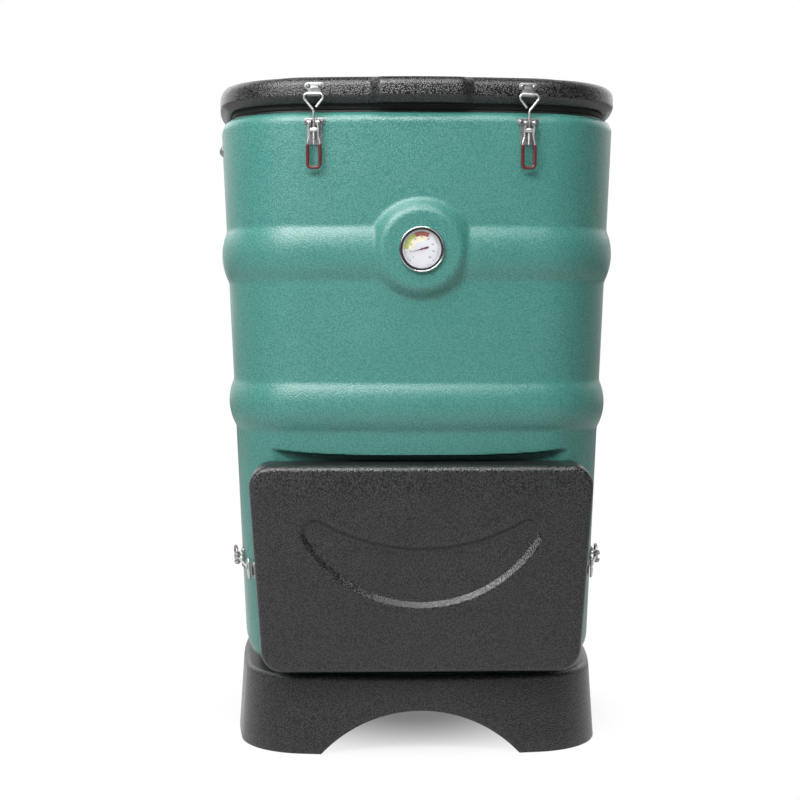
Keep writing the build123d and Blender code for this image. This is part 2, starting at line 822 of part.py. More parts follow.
def crescent():
    """The smile-shaped recess: two round lobes joined by a long lower arc and a flatter upper one."""
    lobe_x = crescent_lobe_spacing / 2
    lobe_row = crescent_lobe_rise - hatch_tall / 2
    low_row = crescent_low_rise - hatch_tall / 2
    middle_row = crescent_middle_rise - hatch_tall / 2
    low_edge = low_row + crescent_lobe_radius
    lower_middle = (lobe_x**2 + lobe_row**2 - low_edge**2) / (2 * (lobe_row - low_edge))
    lower_radius = lower_middle - low_row
    upper_edge = middle_row - crescent_lobe_radius
    upper_middle = (lobe_x**2 + lobe_row**2 - upper_edge**2) / (2 * (lobe_row - upper_edge))
    upper_radius = upper_middle - middle_row
    lower_swing = degrees(atan2(lobe_x, lower_middle - lobe_row))
    upper_swing = degrees(atan2(lobe_x, upper_middle - lobe_row))
    with BuildSketch(hatch_plane.offset(hatch_front)) as outline:
        with BuildLine():
            CenterArc((0, lower_middle), lower_radius, -90 - lower_swing, 2 * lower_swing)
            lobe_turn = 180 + upper_swing - lower_swing
            CenterArc((lobe_x, lobe_row), crescent_lobe_radius, lower_swing - 90, lobe_turn)
            CenterArc((0, upper_middle), upper_radius, -90 - upper_swing, 2 * upper_swing)
            CenterArc((-lobe_x, lobe_row), crescent_lobe_radius, 90 - upper_swing, lobe_turn)
        make_face()
    return outline.sketch


# Hatch: moulded shell with a crescent pull recess, foam, a back with a plug, and a seal
with BuildPart() as hatch_shell:
    extrude(hatch_outline(0, seal_height), amount=hatch_front - seal_height)
    front_axis = Axis(hatch_plane.origin, hatch_plane.z_dir)
    fillet(hatch_shell.faces().sort_by(front_axis)[-1].outer_wire().edges(), hatch_edge_radius)
    extrude(crescent(), amount=-crescent_depth, taper=crescent_slope, mode=Mode.SUBTRACT)
    extrude(
        hatch_outline(hatch_wall, seal_height),
        amount=hatch_front - seal_height - hatch_wall - crescent_depth,
        mode=Mode.SUBTRACT,
    )
    with Locations(*hatch_keeper_screw_spots):
        Cylinder(
            screw_shank_radius, keeper_screw_length, align=(Align.CENTER, Align.CENTER, Align.MAX),
            mode=Mode.SUBTRACT,
        )
finish(hatch_shell.part, "hatch_shell")

plug_width = opening_width - 2 * collar_wall - 2 * plug_clearance
plug_tall = opening_height - 2 * collar_wall - 2 * plug_clearance
plug_radius = opening_radius - collar_wall - plug_clearance
with BuildPart() as hatch_back:
    extrude(hatch_outline(hatch_wall, seal_height), amount=pan_wall)
    with BuildSketch(hatch_plane.offset(seal_height)):
        with Locations((0, opening_row)):
            RectangleRounded(plug_width, plug_tall, plug_radius)
    extrude(amount=-(seal_height + plug_depth))
    with BuildSketch(hatch_plane.offset(seal_height + pan_wall)):
        with Locations((0, opening_row)):
            RectangleRounded(plug_width - 2 * pan_wall, plug_tall - 2 * pan_wall, plug_radius - pan_wall)
    extrude(amount=-(seal_height + plug_depth), mode=Mode.SUBTRACT)
finish(hatch_back.part, "hatch_back")

with BuildPart() as hatch_insulation:
    extrude(
        hatch_outline(hatch_wall, seal_height + pan_wall),
        amount=hatch_front - seal_height - hatch_wall - crescent_depth - pan_wall,
    )
    with BuildSketch(hatch_plane.offset(seal_height + pan_wall)):
        with Locations((0, opening_row)):
            RectangleRounded(plug_width - 2 * pan_wall, plug_tall - 2 * pan_wall, plug_radius - pan_wall)
    extrude(amount=-(seal_height + plug_depth))
finish(hatch_insulation.part, "hatch_insulation")

with BuildPart() as hatch_seal:
    with BuildSketch(hatch_plane.offset(seal_gap)):
        with Locations((0, opening_row)):
            RectangleRounded(
                opening_width + 2 * (seal_margin + seal_width),
                opening_height + 2 * (seal_margin + seal_width),
                opening_radius + seal_margin + seal_width,
            )
            RectangleRounded(
                opening_width + 2 * seal_margin,
                opening_height + 2 * seal_margin,
                opening_radius + seal_margin,
                mode=Mode.SUBTRACT,
            )
    extrude(amount=seal_height - seal_gap)
finish(hatch_seal.part, "hatch_seal")

# Lid: moulded shell with a front grip and a shallow crown, foam, a pan with a plug, and a seal
crown_top = lid_top + lid_crown_rise
vent_floor = crown_top - vent_pocket_depth
lid_cavity_top = lid_top - lid_skin
with BuildPart() as lid_shell:
    with BuildSketch(Plane.XY.offset(lid_bottom)) as lid_outline:
        add(plan(lid_half, 0))
        with BuildLine():
            Polyline(
                (-grip_half - grip_run_out, bow_shift - bow_radius + grip_run_out),
                (-grip_half - grip_run_out, -lid_half + grip_root_inset),
                (-grip_half, -lid_half - grip_proud),
                (grip_half, -lid_half - grip_proud),
                (grip_half + grip_run_out, -lid_half + grip_root_inset),
                (grip_half + grip_run_out, bow_shift - bow_radius + grip_run_out),
                close=True,
            )
        make_face()
    extrude(amount=lid_top - lid_bottom)
    upright = lid_shell.edges().filter_by(Axis.Z)
    grip_corners = upright.filter_by(lambda edge: edge.center().Y < -lid_half - grip_proud / 2)
    fillet(grip_corners, grip_blend_radius)
    chamfer(lid_shell.faces().sort_by(Axis.Z)[0].outer_wire().edges(), lid_bevel)
    fillet(lid_shell.faces().sort_by(Axis.Z)[-1].outer_wire().edges(), lid_top_radius)
    extrude(plan(lid_crown_half, lid_top), amount=lid_crown_rise, taper=lid_crown_slope)
    for middle in hinge_middles:
        with Locations((middle, hinge_lid_pad_y, hinge_lid_leaf_low)):
            Box(
                hinge_width + 2 * hinge_pad_margin,
                lid_cavity_inset,
                hinge_lid_leaf_high - hinge_lid_leaf_low,
                align=(Align.CENTER, Align.MAX, Align.MIN),
            )
    extrude(
        plan(lid_half - lid_cavity_inset, lid_bottom), amount=lid_cavity_top - lid_bottom, mode=Mode.SUBTRACT
    )
    with BuildSketch(Plane.XY.offset(crown_top)):
        Circle(vent_pocket_radius)
    extrude(amount=-vent_pocket_depth, mode=Mode.SUBTRACT)
    with BuildSketch(Plane.XY.offset(crown_top)):
        Circle(vent_duct_radius)
    extrude(amount=-2 * (lid_crown_rise + lid_skin), mode=Mode.SUBTRACT)
    with Locations(*lid_keeper_screw_spots):
        Cylinder(
            screw_shank_radius, keeper_screw_length, align=(Align.CENTER, Align.CENTER, Align.MAX),
            mode=Mode.SUBTRACT,
        )
    with Locations(*hinge_lid_screw_spots):
        Cylinder(
            screw_shank_radius, hinge_screw_length, align=(Align.CENTER, Align.CENTER, Align.MAX),
            mode=Mode.SUBTRACT,
        )
finish(lid_shell.part, "lid_shell")

lid_plug_half = body_top_half - wall_thickness - lid_plug_clearance
plug_bottom = lid_bottom - lid_plug_depth
plug_bottom_half = lid_plug_half - (lid_bottom - plug_bottom) * draft_slope
with BuildPart() as lid_pan:
    extrude(plan(lid_half - lid_cavity_inset, lid_bottom), amount=pan_wall)
    extrude(plan(plug_bottom_half, plug_bottom), amount=lid_plug_depth, taper=-wall_draft)
    extrude(
        plan(plug_bottom_half - pan_wall, plug_bottom + pan_wall),
        amount=lid_plug_depth,
        taper=-wall_draft,
        mode=Mode.SUBTRACT,
    )
    with BuildSketch(Plane.XY.offset(plug_bottom)):
        Circle(vent_duct_radius)
    extrude(amount=lid_plug_depth, mode=Mode.SUBTRACT)
finish(lid_pan.part, "lid_pan")

with BuildPart() as lid_insulation:
    extrude(
        plan(lid_half - lid_cavity_inset, lid_bottom + pan_wall),
        amount=lid_cavity_top - lid_bottom - pan_wall,
    )
    extrude(
        plan(plug_bottom_half - pan_wall, plug_bottom + pan_wall), amount=lid_plug_depth, taper=-wall_draft
    )
    with BuildSketch(Plane.XY.offset(plug_bottom)):
        Circle(vent_duct_radius)
    extrude(amount=lid_top - plug_bottom, mode=Mode.SUBTRACT)
finish(lid_insulation.part, "lid_insulation")

with BuildPart() as lid_seal:
    extrude(
        plan(lid_seal_half, liner_rim_top + seal_gap), amount=lid_bottom - liner_rim_top - seal_gap
    )
    fillet(lid_seal.faces().sort_by(Axis.Z)[0].outer_wire().edges(), lid_seal_round)
    extrude(
        plan(lid_seal_half - lid_seal_width, liner_rim_top), amount=lid_bottom - liner_rim_top,
        mode=Mode.SUBTRACT,
    )
finish(lid_seal.part, "lid_seal")

# Vent: a ring with a duct through the lid, and a shutter that turns on the ring's pin
shutter_low = vent_floor + vent_wall + shutter_gap
with BuildPart() as vent_ring:
    with BuildSketch(Plane.XY.offset(vent_floor)):
        Circle(vent_pocket_radius - shutter_gap)
    extrude(amount=vent_wall)
    with BuildSketch(Plane.XY.offset(vent_floor)):
        Circle(vent_duct_radius)
        Circle(vent_duct_radius - vent_wall, mode=Mode.SUBTRACT)
    extrude(amount=plug_bottom - vent_floor)
    with BuildSketch(Plane.XY.offset(vent_floor)):
        with PolarLocations(vent_hole_ring, vent_hole_count):
            Circle(vent_hole_radius)
    extrude(amount=vent_wall, mode=Mode.SUBTRACT)
    with BuildSketch(Plane.XY.offset(vent_floor + vent_wall)):
        Circle(vent_pin_radius)
    extrude(amount=shutter_gap + shutter_sheet + shutter_bar_height)
finish(vent_ring.part, "vent_ring")

with BuildPart() as vent_shutter:
    with BuildSketch(Plane.XY.offset(shutter_low)):
        Circle(shutter_radius)
        with PolarLocations(vent_hole_ring, vent_hole_count):
            Circle(vent_hole_radius, mode=Mode.SUBTRACT)
    extrude(amount=shutter_sheet)
    with BuildSketch(Plane.XY.offset(shutter_low + shutter_sheet)):
        SlotOverall(shutter_bar_length, shutter_bar_width, rotation=90)
    extrude(amount=shutter_bar_height)
    with BuildSketch(Plane.XY.offset(shutter_low)):
        Circle(vent_pin_radius + running_clearance)
    extrude(amount=shutter_sheet + shutter_bar_height, mode=Mode.SUBTRACT)
finish(vent_shutter.part, "vent_shutter")

# Rear hinges: the lid's leaf has the middle knuckle, the body's leaf the two outer ones
hinge_axis_y = hinge_lid_pad_y + hinge_knuckle_radius
outer_knuckle = (hinge_width - hinge_centre_width) / 2 - hinge_knuckle_gap
with BuildPart() as hinge_lid_leaves:
    for middle in hinge_middles:
        with BuildSketch(Plane.YZ.offset(middle - hinge_centre_width / 2)):
            with Locations((hinge_axis_y, hinge_level)):
                Circle(hinge_knuckle_radius)
            with Locations((hinge_lid_pad_y, hinge_level)):
                Rectangle(hinge_leaf, hinge_lid_leaf_low - hinge_level, align=Align.MIN)
        extrude(amount=hinge_centre_width)
        with Locations((middle, hinge_lid_pad_y, hinge_lid_leaf_low)):
            Box(
                hinge_width,
                hinge_leaf,
                hinge_lid_leaf_high - hinge_lid_leaf_low,
                align=(Align.CENTER, Align.MIN, Align.MIN),
            )
    with BuildSketch(Plane.YZ.offset(-hinge_spacing)):
        with Locations((hinge_axis_y, hinge_level)):
            Circle(hinge_pin_radius + running_clearance)
    extrude(amount=2 * hinge_spacing, mode=Mode.SUBTRACT)
    with Locations(*hinge_lid_screw_spots):
        Cylinder(screw_shank_radius, 3 * hinge_leaf, mode=Mode.SUBTRACT)
finish(hinge_lid_leaves.part, "hinge_lid_leaves")

with BuildPart() as hinge_body_leaves:
    for middle in hinge_middles:
        for side in (-1, 1):
            start = middle + side * hinge_width / 2
            with BuildSketch(Plane.YZ.offset(start)):
                with Locations((hinge_axis_y, hinge_level)):
                    Circle(hinge_knuckle_radius)
                with BuildLine():
                    Polyline(
                        (hinge_body_pad_y, hinge_body_leaf_high),
                        (hinge_body_pad_y + hinge_leaf, hinge_body_leaf_high - hinge_leaf),
                        (hinge_axis_y + hinge_leaf / 2, hinge_level - hinge_knuckle_radius + hinge_leaf / 2),
                        (hinge_axis_y - hinge_leaf, hinge_level - hinge_leaf / 2),
                        close=True,
                    )
                make_face()
            extrude(amount=-side * outer_knuckle)
        with Locations((middle, hinge_body_pad_y, hinge_body_leaf_low)):
            Box(
                hinge_width,
                hinge_leaf,
                hinge_body_leaf_high - hinge_body_leaf_low,
                align=(Align.CENTER, Align.MIN, Align.MIN),
            )
    with BuildSketch(Plane.YZ.offset(-hinge_spacing)):
        with Locations((hinge_axis_y, hinge_level)):
            Circle(hinge_pin_radius)
    extrude(amount=2 * hinge_spacing, mode=Mode.SUBTRACT)
    with Locations(*hinge_body_screw_spots):
        Cylinder(screw_shank_radius, 3 * hinge_leaf, mode=Mode.SUBTRACT)
finish(hinge_body_leaves.part, "hinge_body_leaves")

with BuildPart() as hinge_pins:
    for middle in hinge_middles:
        with BuildSketch(Plane.YZ.offset(middle - hinge_width / 2)):
            with Locations((hinge_axis_y, hinge_level)):
                Circle(hinge_pin_radius)
        extrude(amount=hinge_width)
finish(hinge_pins.part, "hinge_pins")

hinge_screw = pan_head_screw(hinge_screw_length)
with BuildPart() as hinge_lid_screws:
    with Locations(*hinge_lid_screw_spots):
        add(hinge_screw)
finish(hinge_lid_screws.part, "hinge_lid_screws")

with BuildPart() as hinge_body_screws:
    with Locations(*hinge_body_screw_spots):
        add(hinge_screw)
finish(hinge_body_screws.part, "hinge_body_screws")

# Toggle latch pieces, each drawn once about its own pivot
with BuildPart() as latch_bracket:
    with BuildSketch():
        with Locations((0, bracket_ear_row)):
            SlotCenterToCenter(bracket_screw_spacing, 2 * bracket_ear_radius)
        with Locations((0, bracket_ear_row)):
            Rectangle(bracket_width, bracket_tail + bracket_ear_row, align=(Align.CENTER, Align.MAX))
        with Locations(
            (-bracket_screw_spacing / 2, bracket_ear_row), (bracket_screw_spacing / 2, bracket_ear_row)
        ):
            Circle(screw_shank_radius, mode=Mode.SUBTRACT)
    extrude(amount=bracket_plate)
    for side in (-1, 1):
        with BuildSketch(Plane.YZ.offset(side * lug_inside)):
            Rectangle(2 * lug_radius, pivot_height, align=(Align.CENTER, Align.MIN))
            with Locations((0, pivot_height)):
                Circle(lug_radius)
        extrude(amount=side * lug_sheet)
        with BuildSketch(Plane.YZ.offset(side * (lug_inside + lug_sheet))):
            with Locations((0, pivot_height)):
                Circle(pivot_pin_radius)
        extrude(amount=side * (cheek_sheet + 2 * cheek_gap))
        with BuildSketch(Plane.YZ.offset(side * (cheek_inside + cheek_sheet + cheek_gap))):
            with Locations((0, pivot_height)):
                Circle(rivet_head_radius)
        extrude(amount=side * rivet_head_height)

cheek_length = hypot(trunnion_drop, pivot_height - trunnion_height)
cheek_tilt = degrees(atan2(pivot_height - trunnion_height, trunnion_drop))
with BuildPart() as latch_lever:
    for side in (-1, 1):
        with BuildSketch(Plane.YZ.offset(side * cheek_inside)):
            with Locations((-trunnion_drop / 2, (pivot_height + trunnion_height) / 2)):
                SlotCenterToCenter(cheek_length, 2 * cheek_radius, rotation=cheek_tilt)
            with Locations((0, pivot_height)):
                Circle(pivot_pin_radius + running_clearance, mode=Mode.SUBTRACT)
            with Locations((-trunnion_drop, trunnion_height)):
                Circle(trunnion_radius + running_clearance, mode=Mode.SUBTRACT)
        extrude(amount=side * cheek_sheet)
    leg_start = trunnion_drop + trunnion_radius + leg_end_gap
    with BuildLine(Plane.XY.offset(trunnion_height)) as lever_path:
        FilletPolyline(
            (-cheek_middle, -leg_start),
            (-cheek_middle, -lever_neck),
            (-grip_leg_half, -lever_splay),
            (-grip_leg_half, -lever_length),
            (grip_leg_half, -lever_length),
            (grip_leg_half, -lever_splay),
            (cheek_middle, -lever_neck),
            (cheek_middle, -leg_start),
            radius=lever_bend_radius,
        )
    with BuildSketch(Plane(origin=lever_path.line @ 0, z_dir=lever_path.line % 0)):
        Circle(latch_wire_radius)
    sweep(path=lever_path.line)

with BuildPart() as latch_grip:
    with BuildLine(Plane.XY.offset(trunnion_height)) as grip_path:
        FilletPolyline(
            (-grip_leg_half, -grip_start),
            (-grip_leg_half, -lever_length),
            (grip_leg_half, -lever_length),
            (grip_leg_half, -grip_start),
            radius=lever_bend_radius,
        )
    with BuildSketch(Plane(origin=grip_path.line @ 0, z_dir=grip_path.line % 0)):
        Circle(grip_radius)
        Circle(latch_wire_radius, mode=Mode.SUBTRACT)
    sweep(path=grip_path.line)

with BuildPart() as latch_trunnion:
    with BuildSketch(Plane.YZ):
        Circle(trunnion_radius)
    extrude(amount=cheek_inside + cheek_sheet, both=True)
    with BuildSketch(Plane.YZ):
        Circle(trunnion_barrel_radius)
    extrude(amount=cheek_middle - latch_wire_radius - cheek_gap, both=True)
    with BuildSketch(Plane.XZ):
        Circle(latch_wire_radius)
    extrude(amount=2 * trunnion_barrel_radius, both=True, mode=Mode.SUBTRACT)


def latch_bail(reach):
    """Wire bail along +Y from its trunnion: a threaded tail, a stem and a loop bent from one wire."""
    neck = reach - bail_loop_length
    loop_lean = atan2(bail_loop_half, bail_loop_length)
    butt_x = latch_wire_radius * (1 + cos(loop_lean)) + bail_butt_gap
    butt_y = neck + butt_x * bail_loop_length / bail_loop_half
    with BuildPart() as bail:
        with BuildLine() as wire:
            FilletPolyline(
                (0, -bail_tail),
                (0, neck),
                (-bail_loop_half, reach),
                (bail_loop_half, reach),
                (butt_x, butt_y),
                radius=(bail_neck_radius, bail_corner_radius, bail_corner_radius),
            )
        with BuildSketch(Plane(origin=wire.line @ 0, z_dir=wire.line % 0)):
            Circle(latch_wire_radius)
        sweep(path=wire.line)
    return bail.part


with BuildPart() as latch_keeper:
    with BuildSketch():
        with Locations((0, keeper_screw_row)):
            SlotCenterToCenter(keeper_screw_spacing, 2 * keeper_ear_radius)
        Rectangle(keeper_width, keeper_screw_row, align=(Align.CENTER, Align.MIN))
        with Locations(
            (-keeper_screw_spacing / 2, keeper_screw_row), (keeper_screw_spacing / 2, keeper_screw_row)
        ):
            Circle(screw_shank_radius, mode=Mode.SUBTRACT)
    extrude(amount=keeper_plate)
    hook_bend = hook_channel_radius + keeper_plate
    with BuildSketch(Plane.YZ.offset(-keeper_width / 2)):
        with Locations((0, hook_bend)):
            Circle(hook_bend)
            Circle(hook_channel_radius, mode=Mode.SUBTRACT)
            Rectangle(hook_bend, 2 * hook_bend, align=(Align.MIN, Align.CENTER), mode=Mode.SUBTRACT)
        with Locations((0, hook_bend + hook_channel_radius)):
            Rectangle(hook_lip_rise, keeper_plate, align=Align.MIN)
    extrude(amount=keeper_width)

# The four latches in their places
trunnion_spot = Vector(0, -trunnion_drop, trunnion_height)
for name, (body_plane, keeper_plane) in latch_planes.items():
    bar_height = hook_lip_outside + bail_stand_off + latch_wire_radius
    bar = body_plane.to_local_coords(keeper_plane.from_local_coords(Vector(0, 0, bar_height)))
    bail_reach = hypot(bar.Y - trunnion_spot.Y, bar.Z - trunnion_spot.Z)
    bail_lean = degrees(atan2(bar.Z - trunnion_spot.Z, bar.Y - trunnion_spot.Y))
    bail = latch_bail(bail_reach)
    if name.endswith("right"):
        bail = mirror(bail, about=Plane.YZ)
    trunnion_place = body_plane.location * Location(trunnion_spot, (bail_lean, 0, 0))
    finish(body_plane.location * latch_bracket.part, f"{name}_bracket")
    finish(body_plane.location * latch_lever.part, f"{name}_lever")
    finish(body_plane.location * latch_grip.part, f"{name}_grip")
    finish(trunnion_place * latch_trunnion.part, f"{name}_trunnion")
    finish(trunnion_place * bail, f"{name}_bail")

with BuildPart() as lid_keepers:
    with Locations(latch_planes["lid_latch_left"][1], latch_planes["lid_latch_right"][1]):
        add(latch_keeper.part)
finish(lid_keepers.part, "lid_keepers")

with BuildPart() as hatch_keepers:
    with Locations(latch_planes["hatch_latch_left"][1], latch_planes["hatch_latch_right"][1]):
        add(latch_keeper.part)
finish(hatch_keepers.part, "hatch_keepers")

keeper_screw = pan_head_screw(keeper_screw_length)
with BuildPart() as lid_keeper_screws:
    with Locations(*lid_keeper_screw_spots):
        add(keeper_screw)
finish(lid_keeper_screws.part, "lid_keeper_screws")

with BuildPart() as hatch_keeper_screws:
    with Locations(*hatch_keeper_screw_spots):
        add(keeper_screw)
finish(hatch_keeper_screws.part, "hatch_keeper_screws")

bracket_screw = pan_head_screw(bracket_screw_length)
with BuildPart() as bracket_screws:
    with Locations(*bracket_screw_spots):
        add(bracket_screw)
finish(bracket_screws.part, "bracket_screws")
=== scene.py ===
import json
import math

import bmesh
import bpy
from bpy.props import FloatProperty, IntProperty, PointerProperty, StringProperty
from bpy.types import Operator, Panel, PropertyGroup
from mathutils import Matrix, Vector


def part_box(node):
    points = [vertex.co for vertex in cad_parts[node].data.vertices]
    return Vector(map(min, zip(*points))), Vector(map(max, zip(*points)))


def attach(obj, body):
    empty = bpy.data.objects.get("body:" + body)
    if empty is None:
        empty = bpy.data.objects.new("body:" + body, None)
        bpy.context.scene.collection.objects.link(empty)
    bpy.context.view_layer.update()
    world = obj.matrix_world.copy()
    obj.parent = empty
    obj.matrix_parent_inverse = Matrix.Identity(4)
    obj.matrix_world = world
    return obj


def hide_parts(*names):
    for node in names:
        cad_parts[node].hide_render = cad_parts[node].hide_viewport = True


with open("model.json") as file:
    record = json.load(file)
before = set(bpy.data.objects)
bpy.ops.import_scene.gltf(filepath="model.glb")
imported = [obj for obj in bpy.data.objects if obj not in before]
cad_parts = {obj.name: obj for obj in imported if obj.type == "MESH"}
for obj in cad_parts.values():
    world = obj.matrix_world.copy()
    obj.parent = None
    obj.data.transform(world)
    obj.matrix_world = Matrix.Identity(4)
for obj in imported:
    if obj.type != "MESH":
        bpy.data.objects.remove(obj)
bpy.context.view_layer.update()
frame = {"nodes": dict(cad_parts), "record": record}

bl_info = {
    "name": "Insulated compost bin",
    "version": (1, 0, 0),
    "blender": (4, 5, 0),
    "location": "View3D > Sidebar > Compost bin",
    "description": "Dresses the compost bin's frame with its moulded skins, hardware, dial and finishes",
    "category": "Object",
}

MM = 0.001
LATCHES = ("lid_latch_left", "lid_latch_right", "hatch_latch_left", "hatch_latch_right")
WELD = 1e-6  # distance within which a mesh's doubles are merged

# Width in millimetres of the bevel that breaks the edges of CAD pieces
PRESSED_EDGE, LEAF_EDGE, TURNED_EDGE, RING_EDGE, SHUTTER_EDGE = 0.35, 0.4, 0.3, 0.5, 0.8

# Angles between faces: a CAD mesh's faces are merged below the first, edges are shaded sharp above the
# second, and the edges of CAD meshes and of cut sheet are broken above the last two
FLAT_ANGLE, CREASE_ANGLE, SHARP_ANGLE = math.radians(0.5), math.radians(35.0), math.radians(40.0)
RIM_ANGLE = math.radians(68.75)
UP, OUT, DOWN, IN = math.pi / 2, 0.0, -math.pi / 2, math.pi  # bearings in a section of the wall

# Stations along a side from its middle, as breaks and the gaps between them in metres: close together
# across what stands out of that side. The last break lies past every corner.
SIDE_END = 0.3
PLAIN_SIDE = ((0.0, SIDE_END), (0.014,))
HINGE_SIDE = ((0.0, 0.09, 0.17, SIDE_END), (0.014, 0.003, 0.012))
BOSS_SIDE = ((0.0, 0.088, SIDE_END), (0.0026, 0.006))
GRIP_SIDE = ((0.0, 0.045, 0.085, SIDE_END), (0.01, 0.0016, 0.012))
ARCH_END, ARCH_GAPS = 0.012, (0.008, 0.002, 0.008)  # the closer gaps lie this far to both sides of its foot
LEAST_GAP = 0.001  # between a side's last station and the corner
HAIR = 0.0005  # less than any step between two rows of the lid

# Levels of the green shell's rows from its shoulder down to its bottom edge, and from there up its
# inside, with the gaps between them in metres: close together at the boss, the lower rib and the seat's edge
OUTSIDE_LEVELS = (0.806, 0.75, 0.597, 0.5, 0.429, 0.416, 0.392)
OUTSIDE_GAPS = (0.0032, 0.014, 0.003, 0.016, 0.0032, 0.006, 0.0013, 0.028)
INSIDE_LEVELS = (0.4, 0.425, 0.5)
INSIDE_GAPS = (0.06, 0.005, 0.025, 0.06)

# How far cutters and the vent's pin reach past what they go through
OPENING_UNDER, OPENING_OVER, POCKET_OVER = 0.012, 0.006, 0.01
BORE_UNDER, BORE_OVER, PIVOT_UNDER = 0.0001, 0.001, 0.0004

BAND_STEP = math.radians(3.0)  # of the dial's printed arcs
TICK_GROUP, TICK_LONGER = 5.0, 1.7  # every fifth tick is this many times as long

# Lamps that shine at AIM: name, place, width and height in metres, power in watts
AIM = Vector((0.0, 0.0, 0.5))
LAMPS = (
    ("key", (-1.4, -2.0, 2.1), 1.5, 1.5, 66.0),
    ("front_box", (-0.1, -2.4, 2.4), 1.6, 0.8, 22.0),
    ("front_bar", (-0.55, -1.9, 2.5), 2.6, 0.3, 54.0),
    ("overhead_bar", (-0.3, -1.0, 2.9), 2.6, 0.5, 40.0),
    ("back_left", (-1.8, 1.8, 2.3), 2.4, 2.4, 36.0),
    ("back_right", (1.8, 1.8, 2.3), 2.4, 2.4, 26.0),
)
FLOOR_RADIUS = 9.0
# Distances from the bin's middle over which the floor turns from paper to the background, from a least
# share up, and over which it fades out of reflections, down to a least share
PAPER_START, PAPER_END, PAPER_LEAST = 0.04, 0.33, 0.2
MIRROR_START, MIRROR_END, MIRROR_LEAST = 0.5, 2.2, 0.1
# Parts of a direction, upwards and to the back, over which the background fades in reflections
SKY_START, SKY_END = 0.3, 0.7
BACK_START, BACK_END = -0.2, 0.7
WORLD_FILL = 0.05  # strength of the world's own light on the bin
FRAME_PIXELS = 800
SENSOR_MM = 36.0


def length(name, description, millimetres):
    """A length property whose default is given in millimetres."""
    return FloatProperty(name=name, description=description, default=millimetres * MM, unit="LENGTH")


def angle(name, description, degrees):
    """An angle property whose default is given in degrees."""
    return FloatProperty(name=name, description=description, default=math.radians(degrees), subtype="ANGLE")


def number(name, description, value):
    """A property that is a plain number."""
    return FloatProperty(name=name, description=description, default=value)


def colour(name, value):
    """A colour property, given as an sRGB hex value."""
    return StringProperty(name=name, description=f"{name}, as an sRGB hex colour", default=value)


class WallSettings(PropertyGroup):
    """Outline and walls that several pieces share."""

    lid_half: length("Lid half width", "From the middle of the bin to the lid's side", 284.0)
    bow_radius: length("Bow radius", "Of the bowed sides at the lid", 1200.0)
    corner_share: number("Corner share", "Corner radius over lid half width", 0.447)
    draft: angle("Wall draft", "How far the walls lean out towards the top", 2.85)
    lid_overhang: length("Lid overhang", "Of the lid over the body's top", 1.5)
    body_low: length("Body low", "Level of the body's underside", 105.0)
    body_top: length("Body top", "Level of the body's top", 857.0)
    shell_wall: length("Shell wall", "Thickness of the green shell", 4.0)
    shoulder_radius: length("Shoulder radius", "Of the body's top edge", 14.0)
    bottom_radius: length("Bottom radius", "Of the body's bottom edge", 42.0)
    liner_inset: length("Liner inset", "From the body's side to the liner's outside", 47.0)
    inlet_radius: length("Inlet radius", "Of the air inlet through the floor", 25.0)


class FeatureSettings(PropertyGroup):
    """Ribs, thermometer boss, hatch seat and hinge pads on the green shell."""

    rib_bulge: length("Rib bulge", "How far the ribs stand out", 8.0)
    rib_blend: length("Rib blend", "Over which a rib runs into the wall", 1.2)
    upper_rib_low: length("Upper rib low", "Lower edge of the upper rib", 634.0)
    upper_rib_high: length("Upper rib high", "Upper edge of the upper rib", 705.0)
    lower_rib_low: length("Lower rib low", "Lower edge of the lower rib", 432.0)
    lower_rib_high: length("Lower rib high", "Upper edge of the lower rib", 497.0)
    boss_level: length("Boss level", "Level of the thermometer", 675.0)
    boss_face: length("Boss face radius", "Of the boss's flat face", 53.5)
    boss_root: length("Boss root radius", "Of the boss where it meets the wall", 67.5)
    boss_proud: length("Boss proud", "How far the boss stands out", 13.0)
    boss_edge: length("Boss edge", "Over which the boss's face rounds off", 5.0)
    boss_blend: length("Boss blend", "Over which the boss runs into the wall", 2.0)
    pocket_radius: length("Pocket radius", "Of the pocket for the thermometer case", 28.0)
    pocket_depth: length("Pocket depth", "Of the pocket for the thermometer case", 9.6)
    seat_depth: length("Seat depth", "How far the hatch's seat is sunk", 25.0)
    seat_top: length("Seat top", "Level of the seat's upper edge at its ends", 407.5)
    seat_half: length("Seat half width", "From the middle to the ends of the seat's upper edge", 210.0)
    seat_sag: length("Seat sag", "How far the seat's upper edge dips at its middle", 9.0)
    seat_blend: length("Seat blend", "Over which the seat runs into the wall", 3.0)
    step_below: length("Step below", "Of the step over the seat, below its edge", 1.0)
    step_above: length("Step above", "Of the step over the seat, above its edge", 4.0)
    opening_half: length("Opening half width", "Of the opening behind the hatch", 162.0)
    opening_height: length("Opening height", "Of the opening behind the hatch", 180.0)
    opening_middle: length("Opening middle", "Level of the opening's middle", 270.0)
    opening_radius: length("Opening radius", "Of the opening's corners", 25.0)
    hinge_spacing: length("Hinge spacing", "Between the two hinges", 259.86)
    pad_half: length("Pad half width", "Of the hinge pads", 33.0)
    pad_edge: length("Pad edge", "Over which a hinge pad rises from the wall", 3.0)
    body_pad: length("Body pad", "From the middle of the bin to the body's hinge pads", 279.0)
    body_pad_low: length("Body pad low", "Lower edge of the body's hinge pads", 809.0)
    body_pad_high: length("Body pad high", "Upper edge of the body's hinge pads", 850.0)


